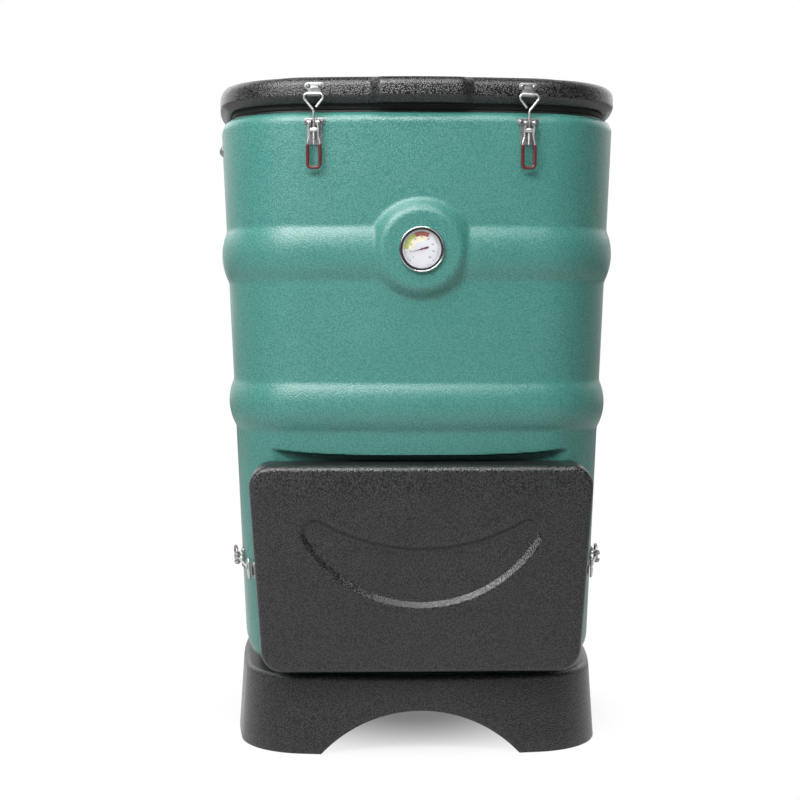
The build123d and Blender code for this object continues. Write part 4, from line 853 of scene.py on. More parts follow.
def geometry_tree(name, inputs):
    """An empty geometry tree with a geometry in and out and the named inputs."""
    tree = bpy.data.node_groups.new(name, "GeometryNodeTree")
    tree.interface.new_socket("Geometry", in_out="OUTPUT", socket_type="NodeSocketGeometry")
    tree.interface.new_socket("Geometry", in_out="INPUT", socket_type="NodeSocketGeometry")
    for label, kind in inputs:
        tree.interface.new_socket(label, in_out="INPUT", socket_type=kind)
    return tree, add_node(tree, "NodeGroupInput").outputs


def end_tree(tree, geometry, material):
    """Ends a geometry tree in realised instances with one material."""
    whole = add_node(tree, "GeometryNodeRealizeInstances", {"Geometry": geometry})
    coated = add_node(tree, "GeometryNodeSetMaterial", {
        "Geometry": whole.outputs["Geometry"], "Material": material})
    add_node(tree, "NodeGroupOutput", {"Geometry": coated.outputs["Geometry"]})
    return tree


def grow(tree, mesh, values):
    """Runs a geometry tree on a mesh with the given inputs and returns the plain mesh that it makes."""
    seed = placed(tree.name, mesh)
    modifier = seed.modifiers.new(tree.name, "NODES")
    modifier.node_group = tree
    for item in tree.interface.items_tree:
        if item.in_out == "INPUT" and item.name in values:
            modifier[item.identifier] = values[item.name]
    bm = bmesh.new()
    bm.from_mesh(baked(seed))
    if not bm.faces:
        raise ValueError(f"{tree.name} made no faces")
    return to_mesh(bm, tree.name)


def joined(meshes, name):
    """One mesh out of several."""
    bm = bmesh.new()
    for mesh in meshes:
        bm.from_mesh(mesh)
    return to_mesh(bm, name)


def refined(node, bevel_mm):
    """A copy of a CAD node's mesh whose sharp edges are broken by a small bevel."""
    bm = bmesh.new()
    bm.from_mesh(frame["nodes"][node].data)
    bmesh.ops.remove_doubles(bm, verts=bm.verts, dist=WELD)
    bmesh.ops.dissolve_limit(bm, angle_limit=FLAT_ANGLE, verts=bm.verts, edges=bm.edges)
    broken(bm, SHARP_ANGLE, bevel_mm * MM)
    return to_mesh(bm, node)


def hatch_middle():
    """Level of the hatch's middle."""
    hatch = bin_settings().hatch
    return (hatch.low + hatch.high) / 2


def seat_frame():
    """Frame on the hatch's seat, at the hatch's middle."""
    return front_frame(hatch_middle(), bin_settings().feature.seat_depth)


def dial_frame():
    """Frame on the face of the thermometer's boss."""
    feature = bin_settings().feature
    return front_frame(feature.boss_level, 0.0) @ Matrix.Translation((0, 0, feature.boss_proud))


class COMPOSTBIN_OT_finishes(Operator):
    """Gives every CAD piece its finish"""

    bl_idname = "compost_bin.finishes"
    bl_label = "Finish the CAD pieces"

    def execute(self, context):
        MADE_FINISHES.clear()
        for node, holder in frame["nodes"].items():
            holder.data.materials.clear()
            holder.data.materials.append(finish(slot_of(node)))
        return {"FINISHED"}


class COMPOSTBIN_OT_body(Operator):
    """Makes the green shell with its ribs, thermometer boss, hatch seat and hinge pads"""

    bl_idname = "compost_bin.body"
    bl_label = "Green shell"

    def execute(self, context):
        settings = context.scene.compost_bin
        self.seat = seat_frame()
        self.seat_inverse = self.seat.inverted()
        self.boss = front_frame(settings.feature.boss_level, 0.0)
        self.boss_inverse = self.boss.inverted()
        whole = to_mesh(loft(self.rows(settings)), "green_shell")
        mesh = cut(whole, self.hatch_opening(settings), self.thermometer_pocket(settings))
        piece(mesh, "green_shell", "bin", "green_moulded", "outer_shell")
        return {"FINISHED"}

    def rows(self, settings):
        wall = settings.wall
        side = runs(*PLAIN_SIDE)
        columns = spokes((side, runs(*HINGE_SIDE), side, runs(*BOSS_SIDE)), corner_steps=26)
        sheet = wall.shell_wall
        top, low = wall.body_top, wall.body_low
        mouth = half_at(top) - wall.liner_inset
        shoulder = top - wall.shoulder_radius
        bend = low + wall.bottom_radius
        bend_middle = half_at(bend) - wall.bottom_radius
        outside = runs((shoulder, *OUTSIDE_LEVELS, bend), OUTSIDE_GAPS)
        inside = runs((bend, *INSIDE_LEVELS, top - sheet), INSIDE_GAPS)
        shoulder_middle = half_at(shoulder) - wall.shoulder_radius
        ring = arc_rows(shoulder_middle, shoulder, wall.shoulder_radius, UP, OUT, steps=7)
        under = arc_rows(bend_middle, bend, wall.bottom_radius, OUT, DOWN, steps=9)
        inner_under = arc_rows(bend_middle, bend, wall.bottom_radius - sheet, DOWN, OUT, steps=6)
        rows = [square_row(columns, mouth, top)]
        rows += [square_row(columns, *place) for place in ring[:-1]]
        rows += [[self.wall_point(settings, spoke, level, 0.0) for spoke in columns] for level in outside]
        rows += [self.clear_seat(square_row(columns, *place), 0.0) for place in under[1:]]
        rows.append(round_row(columns, wall.inlet_radius, low))
        rows.append(round_row(columns, wall.inlet_radius, low + sheet))
        rows += [self.clear_seat(square_row(columns, *place), sheet) for place in inner_under[:-1]]
        rows += [[self.wall_point(settings, spoke, level, sheet) for spoke in columns] for level in inside]
        rows.append(square_row(columns, mouth, top - sheet))
        return rows

    def wall_point(self, settings, spoke, level, inset):
        """Point of the shell's outside, or of its inside where an inset is given."""
        feature = settings.feature
        half = half_at(level) - inset
        if not inset:
            upper = self.rib(level, feature.upper_rib_low, feature.upper_rib_high, feature.rib_bulge)
            lower = self.rib(level, feature.lower_rib_low, feature.lower_rib_high, feature.rib_bulge)
            half += smooth_max(0.0, max(upper, lower), feature.rib_blend)
        point = on_spoke(spoke, half, level)
        if point.y > 0:
            return point if inset else self.hinge_pad(feature, point)
        if not inset:
            point = self.thermometer_boss(feature, point)
        return self.hatch_seat(settings, point, inset)

    def rib(self, level, low, high, bulge):
        """How far a rib of round section stands out at a level; below zero beside it."""
        middle, half = (low + high) / 2, (high - low) / 2
        radius = (half * half + bulge * bulge) / (2 * bulge)
        across = min(abs(level - middle), radius)
        return math.sqrt(radius * radius - across * across) - radius + bulge

    def thermometer_boss(self, feature, point):
        local = self.boss_inverse @ point
        reach = math.hypot(local.x, local.y)
        slope = feature.boss_proud / (feature.boss_root - feature.boss_face)
        flank = feature.boss_proud - (reach - feature.boss_face) * slope
        boss = smooth_min(feature.boss_proud, flank, feature.boss_edge)
        if reach > 2 * feature.boss_root or boss < local.z - feature.boss_blend:
            return point
        local.z = smooth_max(local.z, boss, feature.boss_blend)
        return self.boss @ local

    def hatch_seat(self, settings, point, inset):
        """Sinks a point of the front to the hatch's flat seat, up to the seat's dipped upper edge."""
        feature = settings.feature
        local = self.seat_inverse @ point
        # The fourth power keeps the dip flat across the middle and steep at its ends
        dip = feature.seat_sag * max(0.0, 1.0 - (local.x / feature.seat_half) ** 4)
        edge = (feature.seat_top - dip - hatch_middle()) / math.cos(settings.wall.draft) + inset
        over = local.z + inset
        sunk = smooth_min(over, 0.0, feature.seat_blend)
        free = ease(local.y, edge - feature.step_below, edge + feature.step_above)
        local.z = sunk + (over - sunk) * free - inset
        return self.seat @ local

    def clear_seat(self, row, inset):
        """Moves the points of a row that stand out of the hatch's seat back to it."""
        moved = []
        for point in row:
            local = self.seat_inverse @ point
            if point.y < 0 and local.z > -inset:
                local.z = -inset
                point = self.seat @ local
            moved.append(point)
        return moved

    def hinge_pad(self, feature, point):
        edge = feature.pad_edge
        rise = ease(point.z, feature.body_pad_low - edge, feature.body_pad_low)
        fall = ease(point.z, feature.body_pad_high, feature.body_pad_high + edge)
        aside = abs(abs(point.x) - feature.hinge_spacing / 2)
        across = ease(aside, feature.pad_half, feature.pad_half + edge)
        pad = rise * (1 - fall) * (1 - across)
        if pad > 0 and point.y > feature.body_pad / 2:
            point.y += (max(point.y, feature.body_pad) - point.y) * pad
        return point

    def hatch_opening(self, settings):
        feature = settings.feature
        row = (feature.opening_middle - hatch_middle()) / math.cos(settings.wall.draft)
        half, tall, radius = feature.opening_half, feature.opening_height / 2, feature.opening_radius
        outline = round_corners([
            (-half, row - tall, radius), (half, row - tall, radius),
            (half, row + tall, radius), (-half, row + tall, radius)], steps=10)
        return to_mesh(prism(outline, self.seat, -OPENING_UNDER, OPENING_OVER), "hatch_opening")

    def thermometer_pocket(self, settings):
        feature = settings.feature
        outline = circle(feature.pocket_radius, steps=72)
        pocket = prism(outline, dial_frame(), -feature.pocket_depth, POCKET_OVER)
        return to_mesh(pocket, "thermometer_pocket")


class COMPOSTBIN_OT_base(Operator):
    """Makes the stand with an arch at the front and the back"""

    bl_idname = "compost_bin.base"
    bl_label = "Base stand"

    def execute(self, context):
        settings = context.scene.compost_bin
        mesh = to_mesh(loft(self.rows(settings)), "arched_stand")
        piece(mesh, "arched_stand", "bin", "black_moulded", "base_stand")
        return {"FINISHED"}

    def rows(self, settings):
        base, wall = settings.base, settings.wall
        chord = base.arch_chord / 2
        radius = (chord**2 + base.arch_rise**2) / (2 * base.arch_rise)
        side = runs(*PLAIN_SIDE)
        arched = runs((0.0, chord - ARCH_END, chord + ARCH_END, SIDE_END), ARCH_GAPS)
        columns = spokes((side, arched, side, arched), corner_steps=24)
        foot, deck = wall.lid_half - base.foot_inset, wall.lid_half - base.deck_inset
        top, sheet = wall.body_low, base.wall
        lean = (foot - deck) / top
        bend = base.deck_radius
        foot_bend = arc_rows(0.0, 0.0, base.foot_radius, OUT, DOWN, steps=4)
        deck_bend = arc_rows(deck + lean * bend - bend, top - bend, bend, UP, OUT, steps=6)
        rows = [round_row(columns, wall.inlet_radius, top)]
        rows += [square_row(columns, *place) for place in deck_bend]
        springs = [self.arch_level(point, radius, base) for point in square_row(columns, foot, 0.0)]
        for share in (0.8, 0.6, 0.4, 0.2):
            row = []
            for spoke, spring in zip(columns, springs):
                low = spring + base.foot_radius
                level = low + (top - bend - low) * share
                row.append(on_spoke(spoke, foot - level * lean, level))
            rows.append(row)
        for out, drop in foot_bend:
            inward, upward = base.foot_radius - out, base.foot_radius + drop
            rows.append([
                on_spoke(spoke, foot - spring * lean - inward, spring + upward)
                for spoke, spring in zip(columns, springs)])
        flange = [base.flange if spring <= 0 else sheet + base.foot_radius for spring in springs]
        lip = [sheet if spring <= 0 else 0.0 for spring in springs]
        rows.append([
            on_spoke(spoke, foot - spring * lean - width, spring)
            for spoke, spring, width in zip(columns, springs, flange)])
        rows.append([
            on_spoke(spoke, foot - spring * lean - width, spring + rise)
            for spoke, spring, width, rise in zip(columns, springs, flange, lip)])
        rows.append([
            on_spoke(spoke, foot - (spring + rise) * lean - sheet, spring + max(rise, base.foot_radius))
            for spoke, spring, rise in zip(columns, springs, lip)])
        rows.append(square_row(columns, deck - sheet, top - sheet))
        rows.append(round_row(columns, wall.inlet_radius, top - sheet))
        return rows

    def arch_level(self, point, radius, base):
        """Level of the wall's lower edge at a point: the floor, or the arch over it."""
        if abs(point.x) >= base.arch_chord / 2 or abs(point.y) < abs(point.x):
            return 0.0
        return math.sqrt(radius**2 - point.x**2) + base.arch_rise - radius


class COMPOSTBIN_OT_lid(Operator):
    """Makes the lid with its front grip, crown, vent pocket and hinge pads"""

    bl_idname = "compost_bin.lid"
    bl_label = "Lid shell"

    def execute(self, context):
        settings = context.scene.compost_bin
        mesh = to_mesh(loft(self.rows(settings)), "moulded_lid")
        piece(mesh, "moulded_lid", "lid", "black_moulded", "lid_shell")
        return {"FINISHED"}

    def rows(self, settings):
        lid, wall, feature = settings.lid, settings.wall, settings.feature
        side = runs(*PLAIN_SIDE)
        columns = spokes((side, runs(*HINGE_SIDE), side, runs(*GRIP_SIDE)), corner_steps=30)
        half, low, top = wall.lid_half, lid.low, lid.low + lid.height
        crown_half, crown_top = half - lid.crown_inset, top + lid.crown_rise
        crown_run = lid.crown_rise * math.tan(lid.crown_slope)
        profile = round_corners([
            (half - lid.cavity_inset, low, 0.0),
            (half - lid.bevel, low, lid.bevel_low),
            (half, low + lid.bevel, lid.bevel_high),
            (half, top, lid.top_radius),
            (crown_half, top, lid.crown_foot),
            (crown_half - crown_run, crown_top, lid.crown_edge),
            (crown_half - 3 * crown_run, crown_top, 0.0)], closed=False, steps=6)
        rows = []
        for reach, level in profile:
            row = []
            for spoke in columns:
                point = on_spoke(spoke, reach, level)
                if reach > half - lid.cavity_inset + HAIR:
                    self.shape_rim(lid, feature, wall, spoke, point)
                row.append(point)
            rows.append(row)
        floor = crown_top - lid.pocket_depth
        ceiling = top - lid.skin
        for radius, level in (
            (lid.pocket_radius, crown_top), (lid.pocket_radius, floor),
            (lid.duct_radius, floor), (lid.duct_radius, ceiling),
        ):
            rows.append(round_row(columns, radius, level))
        rows.append(square_row(columns, half - lid.cavity_inset, ceiling))
        return rows

    def shape_rim(self, lid, feature, wall, spoke, point):
        """Swells the rim into the grip at the front and into flat pads behind the hinges."""
        rim = on_spoke(spoke, wall.lid_half, 0.0)
        if rim.y < -wall.lid_half / 2:
            fall = (abs(rim.x) - lid.grip_half) / lid.grip_run
            proud = smooth_min(lid.grip_proud, lid.grip_proud * (1 - fall), lid.grip_edge)
            point.y -= smooth_max(0.0, proud - (wall.lid_half + rim.y), lid.grip_blend)
        elif rim.y > wall.lid_half / 2:
            edge = feature.pad_edge
            rise = ease(point.z, lid.pad_low - edge, lid.pad_low + edge)
            fall = ease(point.z, lid.pad_high - edge, lid.pad_high + edge)
            aside = abs(abs(point.x) - feature.hinge_spacing / 2)
            across = ease(aside, feature.pad_half - edge, feature.pad_half)
            point.y += (max(point.y, lid.pad) - point.y) * rise * (1 - fall) * (1 - across)


class COMPOSTBIN_OT_hatch(Operator):
    """Makes the hatch with its rounded front and its crescent pull"""

    bl_idname = "compost_bin.hatch"
    bl_label = "Hatch shell"

    def execute(self, context):
        settings = context.scene.compost_bin
        mesh = to_mesh(self.shell(settings), "moulded_hatch")
        piece(mesh, "moulded_hatch", "hatch", "black_moulded", "hatch_shell")
        return {"FINISHED"}

    def shell(self, settings):
        hatch = settings.hatch
        place = seat_frame()
        bend = hatch.edge_radius
        outside = [(0.0, hatch.back)] + arc_rows(bend, hatch.front - bend, bend, IN, UP, steps=8)
        depth = hatch.front - hatch.wall - hatch.recess
        inside = [(hatch.wall, depth), (hatch.wall, hatch.back)]
        slope_run = hatch.recess * math.tan(hatch.recess_slope)
        lip = round_corners([
            (hatch.lip_flat, 0.0, 0.0), (0.0, 0.0, hatch.lip_radius),
            (-slope_run, -hatch.recess, hatch.lip_radius),
            (-slope_run - hatch.lip_flat, -hatch.recess, 0.0)], closed=False, steps=5)
        bm = bmesh.new()
        body = [
            self.ring(bm, place, self.outline(settings, inset), height)
            for inset, height in inside + outside]
        pull = [
            self.ring(bm, place, self.crescent(settings, out), hatch.front + height)
            for out, height in lip]
        skin(bm, body)
        skin(bm, pull)
        bm.faces.new(body[0])
        fill(bm, (body[-1], pull[0]))
        fill(bm, (pull[-1],))
        return bm

    def ring(self, bm, place, outline, height):
        return [bm.verts.new(place @ Vector((*spot, height))) for spot in outline]

    def outline(self, settings, inset):
        """The hatch's outline, narrower at the bottom."""
        hatch = settings.hatch
        tall = (hatch.high - hatch.low) / math.cos(settings.wall.draft) / 2 - inset
        top = settings.wall.lid_half - hatch.top_inset - inset
        bottom = settings.wall.lid_half - hatch.bottom_inset - inset
        return round_corners([
            (-top, tall, hatch.top_radius - inset), (top, tall, hatch.top_radius - inset),
            (bottom, -tall, hatch.bottom_radius - inset),
            (-bottom, -tall, hatch.bottom_radius - inset)], steps=12)

    def crescent(self, settings, out):
        """The pull's outline, grown by a distance: two round lobes joined by a lower and an upper arc."""
        hatch = settings.hatch
        base = -(hatch.high - hatch.low) / math.cos(settings.wall.draft) / 2
        lobe_x = settings.wall.lid_half - hatch.top_inset - hatch.lobe_margin
        lobe_y = base + hatch.lobe_rise
        low_edge = base + hatch.low_rise + hatch.lobe_radius
        lower_middle = (lobe_x**2 + lobe_y**2 - low_edge**2) / (2 * (lobe_y - low_edge))
        upper_edge = base + hatch.middle_rise - hatch.lobe_radius
        upper_middle = (lobe_x**2 + lobe_y**2 - upper_edge**2) / (2 * (lobe_y - upper_edge))
        lower_swing = math.atan2(lobe_x, lower_middle - lobe_y)
        upper_swing = math.atan2(lobe_x, upper_middle - lobe_y)
        lower_radius = lower_middle - (base + hatch.low_rise) + out
        upper_radius = upper_middle - (base + hatch.middle_rise) - out
        lobe = hatch.lobe_radius + out
        lobe_turn = math.pi + upper_swing - lower_swing
        points = []
        for x, y, radius, start, turn, steps in (
            (0.0, lower_middle, lower_radius, DOWN - lower_swing, 2 * lower_swing, 60),
            (lobe_x, lobe_y, lobe, DOWN + lower_swing, lobe_turn, 22),
            (0.0, upper_middle, upper_radius, DOWN + upper_swing, -2 * upper_swing, 50),
            (-lobe_x, lobe_y, lobe, UP - upper_swing, lobe_turn, 22),
        ):
            points += arc_rows(x, y, radius, start, start + turn, steps)[:-1]
        return points


def latch_frames(name):
    """Frames of a latch: on the body under the lever's pivot, on the keeper's plate and on the trunnion,
    and the bail's reach from its trunnion to its bar."""
    settings = bin_settings()
    latch, wall = settings.latch, settings.wall
    shift = bow_shift()
    side = -1 if name.endswith("left") else 1
    c, s = math.cos(wall.draft), math.sin(wall.draft)
    up = Vector((0, 0, 1))
    if name.startswith("lid"):
        reach = half_at(latch.lid_pivot) + shift
        bearing = math.asin(side * latch.lid_share * wall.lid_half / reach)
        outward = Vector((math.sin(bearing), -math.cos(bearing), 0))
        middle = Vector((0, shift, latch.lid_pivot))
        body = wall_frame(outward * c - up * s, outward * s + up * c, middle + outward * reach)
        middle = Vector((0, shift, latch.lid_hook))
        keeper = wall_frame(outward, up, middle + outward * (wall.lid_half + shift))
    else:
        hatch = settings.hatch
        seat = seat_frame()
        tall = (hatch.high - hatch.low) / c
        lean = (hatch.bottom_inset - hatch.top_inset) / tall
        edge_half = wall.lid_half - (hatch.top_inset + hatch.bottom_inset) / 2 + latch.hook_row * lean
        turn = seat.to_3x3()
        across = turn @ Vector((side, -lean, 0)).normalized()
        hook = seat @ Vector((side * edge_half, latch.hook_row, latch.hook_depth))
        keeper = wall_frame(across, turn @ Vector((0, 0, 1)), hook)
        level = keeper.translation.z
        reach = half_at(level) + shift
        bearing = math.asin(latch.hatch_share * wall.lid_half / reach)
        outward = Vector((side * math.cos(bearing), -math.sin(bearing), 0))
        forward = Vector((-side * math.sin(bearing), -math.cos(bearing), 0))
        middle = Vector((-side * shift, 0, level))
        body = wall_frame(outward * c - up * s, forward, middle + outward * reach)
    bar = body.inverted() @ (keeper @ Vector((0, 0, latch.bar_height)))
    rise, run = bar.z - latch.trunnion_height, bar.y + latch.trunnion_drop
    spot = Matrix.Translation((0, -latch.trunnion_drop, latch.trunnion_height))
    trunnion = body @ spot @ Matrix.Rotation(math.atan2(rise, run), 4, "X")
    return body, keeper, trunnion, math.hypot(rise, run)


def swept(tree, curve, radius, sides):
    """Sweeps a round section of some sides along a curve and closes its ends."""
    section = add_node(tree, "GeometryNodeCurvePrimitiveCircle", {"Resolution": sides, "Radius": radius})
    return add_node(tree, "GeometryNodeCurveToMesh", {
        "Curve": curve, "Profile Curve": section.outputs["Curve"], "Fill Caps": True}).outputs["Mesh"]


def wire_tree():
    """Geometry tree that bends a polyline at its corners, by their "bend", and sweeps a wire along it."""
    tree, given = geometry_tree("bent_wire", (
        ("Radius", "NodeSocketFloat"), ("Material", "NodeSocketMaterial")))
    bend = add_node(tree, "GeometryNodeInputNamedAttribute", {"Name": "bend"}, data_type="FLOAT")
    line = add_node(tree, "GeometryNodeMeshToCurve", {"Mesh": given["Geometry"]})
    bent = add_node(tree, "GeometryNodeFilletCurve", {
        "Curve": line.outputs["Curve"], "Radius": bend.outputs["Attribute"], "Limit Radius": True,
        "Count": 8}, mode="POLY")
    return end_tree(tree, swept(tree, bent.outputs["Curve"], given["Radius"], sides=18), given["Material"])


def thread_tree():
    """Geometry tree that winds a fine ridge along +Z from the origin: a screw thread on a wire."""
    tree, given = geometry_tree("screw_thread", (
        ("Radius", "NodeSocketFloat"), ("Depth", "NodeSocketFloat"), ("Length", "NodeSocketFloat"),
        ("Turns", "NodeSocketFloat"), ("Material", "NodeSocketMaterial")))
    helix = add_node(tree, "GeometryNodeCurveSpiral", {
        "Resolution": 14, "Rotations": given["Turns"], "Start Radius": given["Radius"],
        "End Radius": given["Radius"], "Height": given["Length"]})
    return end_tree(tree, swept(tree, helix.outputs["Curve"], given["Depth"], sides=4), given["Material"])


def scatter_tree(name):
    """Geometry tree that sets one shape on every point, turned by the point's "turn"."""
    tree, given = geometry_tree(name, (("Shape", "NodeSocketObject"), ("Material", "NodeSocketMaterial")))
    turn = add_node(tree, "GeometryNodeInputNamedAttribute", {"Name": "turn"}, data_type="FLOAT_VECTOR")
    rotation = add_node(tree, "FunctionNodeEulerToRotation", {"Euler": turn.outputs["Attribute"]})
    shape = add_node(tree, "GeometryNodeObjectInfo", {"Object": given["Shape"]})
    spread = add_node(tree, "GeometryNodeInstanceOnPoints", {
        "Points": given["Geometry"], "Instance": shape.outputs["Geometry"],
        "Rotation": rotation.outputs["Rotation"]})
    return end_tree(tree, spread.outputs["Instances"], given["Material"])


def tick_tree():
    """Geometry tree that sets ticks along an arc of a dial, every fifth one longer."""
    tree, given = geometry_tree("dial_ticks", (
        ("Steps", "NodeSocketInt"), ("Radius", "NodeSocketFloat"), ("Start", "NodeSocketFloat"),
        ("Sweep", "NodeSocketFloat"), ("Tick", "NodeSocketVector"), ("Material", "NodeSocketMaterial")))
    count = add_node(tree, "ShaderNodeMath", {0: given["Steps"], 1: 1.0}, operation="ADD")
    arc = add_node(tree, "GeometryNodeCurveArc", {
        "Resolution": count.outputs["Value"], "Radius": given["Radius"], "Start Angle": given["Start"],
        "Sweep Angle": given["Sweep"]})
    tick = add_node(tree, "GeometryNodeMeshCube", {"Size": given["Tick"]})
    half = add_node(tree, "ShaderNodeVectorMath", {
        0: given["Tick"], 1: (-0.5, 0.0, 0.5)}, operation="MULTIPLY")
    shifted = add_node(tree, "GeometryNodeTransform", {
        "Geometry": tick.outputs["Mesh"], "Translation": half.outputs["Vector"]})
    index = add_node(tree, "GeometryNodeInputIndex")
    rest = add_node(tree, "ShaderNodeMath", {
        0: index.outputs["Index"], 1: TICK_GROUP}, operation="MODULO")
    long = add_node(tree, "ShaderNodeMapRange", {
        "Value": rest.outputs["Value"], "From Max": 1.0, "To Min": TICK_LONGER, "To Max": 1.0})
    size = add_node(tree, "ShaderNodeCombineXYZ", {"X": long.outputs["Result"], "Y": 1.0, "Z": 1.0})
    spot = add_node(tree, "GeometryNodeInputPosition")
    aim = add_node(tree, "FunctionNodeAlignRotationToVector", {"Vector": spot.outputs["Position"]}, axis="X")
    spread = add_node(tree, "GeometryNodeInstanceOnPoints", {
        "Points": arc.outputs["Curve"], "Instance": shifted.outputs["Geometry"],
        "Rotation": aim.outputs["Rotation"], "Scale": size.outputs["Vector"]})
    return end_tree(tree, spread.outputs["Instances"], given["Material"])


def polyline(route, place):
    """Edge mesh through (x, y, z, bend) corners, set in a frame, that carries each corner's bend radius."""
    mesh = bpy.data.meshes.new("route")
    links = [(i, i + 1) for i in range(len(route) - 1)]
    mesh.from_pydata([place @ Vector(corner[:3]) for corner in route], links, [])
    bends = mesh.attributes.new("bend", "FLOAT", "POINT")
    bends.data.foreach_set("value", [corner[3] for corner in route])
    return mesh


def mirrored(half):
    """A route of (x, y, z, bend) corners, followed by its mirror image back to the other side."""
    return half + [(-x, y, z, bend) for x, y, z, bend in reversed(half)]


class COMPOSTBIN_OT_latches(Operator):
    """Makes the four toggle latches: wire levers, red sleeves, threaded bails, brackets and keepers"""

    bl_idname = "compost_bin.latches"
    bl_label = "Toggle latches"

    def execute(self, context):
        latch = context.scene.compost_bin.latch
        wire = wire_tree()
        thread = thread_tree()
        for name in LATCHES:
            body, _, trunnion, reach = latch_frames(name)
            steel = {"Radius": latch.wire_radius, "Material": finish("bright_wire")}
            lever = [grow(wire, polyline(self.lever_route(latch), body), steel)]
            lever += [self.cheek(latch, body, side) for side in (-1, 1)]
            piece(joined(lever, "lever"), f"{name}_wire_lever", f"{name}_lever", "stainless",
                  f"{name}_lever", coat="bright_wire")
            sleeve = grow(wire, polyline(self.sleeve_route(latch), body), {
                "Radius": latch.grip_radius, "Material": finish("red_grip")})
            piece(sleeve, f"{name}_sleeve", f"{name}_lever", "red_grip", f"{name}_grip")
            side = -1 if name.endswith("right") else 1
            bail = [grow(wire, polyline(self.bail_route(latch, reach, side), trunnion), steel)]
            bail.append(self.thread(latch, thread, trunnion))
            piece(joined(bail, "bail"), f"{name}_wire_bail", f"{name}_bail", "stainless",
                  f"{name}_bail", coat="bright_wire")
            bracket = joined([refined(f"{name}_bracket", PRESSED_EDGE), self.tongue(latch, body)], "bracket")
            piece(bracket, f"{name}_pressed_bracket", "bin", "stainless", f"{name}_bracket")
            barrel = refined(f"{name}_trunnion", TURNED_EDGE)
            piece(barrel, f"{name}_turned_trunnion", f"{name}_bail", "stainless", f"{name}_trunnion",
                  coat="bright_wire")
        for body in ("lid", "hatch"):
            keepers = refined(f"{body}_keepers", PRESSED_EDGE)
            piece(keepers, f"pressed_{body}_keepers", body, "stainless", f"{body}_keepers")
        return {"FINISHED"}

    def tongue(self, latch, body):
        """The bracket's flat tongue, which backs the lever as far as the red sleeve."""
        half, low, corner = latch.tongue_half, -latch.grip_start, latch.tongue_corner
        outline = round_corners([
            (-half, 0.0, 0.0), (-half, low, corner), (half, low, corner), (half, 0.0, 0.0)])
        bm = prism(outline, body, -latch.tongue_sunk, latch.tongue_sheet)
        broken(bm, RIM_ANGLE, latch.edge_break)
        return to_mesh(bm, "tongue")

    def lever_route(self, latch):
        level, middle = latch.trunnion_height, latch.cheek_inside + latch.cheek_sheet / 2
        return mirrored([
            (-middle, -latch.leg_start, level, 0.0),
            (-middle, -latch.lever_neck, level, latch.lever_bend),
            (-latch.leg_half, -latch.lever_splay, level, latch.lever_bend),
            (-latch.leg_half, -latch.lever_length, level, latch.lever_bend)])

    def sleeve_route(self, latch):
        return mirrored([
            (-latch.leg_half, -latch.grip_start, latch.trunnion_height, 0.0),
            (-latch.leg_half, -latch.lever_length, latch.trunnion_height, latch.lever_bend)])

    def bail_route(self, latch, reach, side):
        neck = reach - latch.loop_length
        lean = math.atan2(latch.loop_half, latch.loop_length)
        butt_x = latch.wire_radius * (1 + math.cos(lean)) + latch.butt_gap
        butt_y = neck + butt_x * latch.loop_length / latch.loop_half
        return [
            (0.0, -latch.bail_tail, 0.0, 0.0),
            (0.0, neck, 0.0, latch.neck_bend),
            (-side * latch.loop_half, reach, 0.0, latch.loop_bend),
            (side * latch.loop_half, reach, 0.0, latch.loop_bend),
            (side * butt_x, butt_y, 0.0, 0.0)]

    def thread(self, latch, tree, trunnion):
        span = latch.bail_tail - latch.thread_bare
        mesh = grow(tree, bpy.data.meshes.new("thread"), {
            "Radius": latch.wire_radius - latch.thread_depth / 3, "Depth": latch.thread_depth,
            "Length": span, "Turns": span / latch.thread_pitch, "Material": finish("bright_wire")})
        start = Matrix.Translation((0, -latch.bail_tail + latch.thread_start, 0))
        mesh.transform(trunnion @ start @ Matrix.Rotation(-math.pi / 2, 4, "X"))
        return mesh

    def cheek(self, latch, body, side):
        """One of the lever's two side plates, with holes for the pivot and the trunnion."""
        ends = (
            (Vector((0.0, latch.pivot_height)), latch.pin_radius),
            (Vector((-latch.trunnion_drop, latch.trunnion_height)), latch.trunnion_radius))
        along = (ends[0][0] - ends[1][0]).normalized()
        start = math.atan2(along.y, along.x)
        rim, holes = [], []
        for (middle, hole), turn in zip(ends, (start + DOWN, start + UP)):
            rim += arc_rows(*middle, latch.cheek_radius, turn, turn + math.pi, steps=14)
            holes.append([middle + spot for spot in circle(hole + latch.hole_clear, steps=20)])
        bm = bmesh.new()
        x = side * latch.cheek_inside
        fill(bm, [[bm.verts.new((x, *spot)) for spot in loop] for loop in (rim, *holes)])
        grown = bmesh.ops.extrude_face_region(bm, geom=list(bm.faces))
        moved = [item for item in grown["geom"] if isinstance(item, bmesh.types.BMVert)]
        bmesh.ops.translate(bm, verts=moved, vec=(side * latch.cheek_sheet, 0, 0))
        bmesh.ops.recalc_face_normals(bm, faces=bm.faces)
        broken(bm, RIM_ANGLE, latch.edge_break)
        bm.transform(body)
        return to_mesh(bm, "cheek")


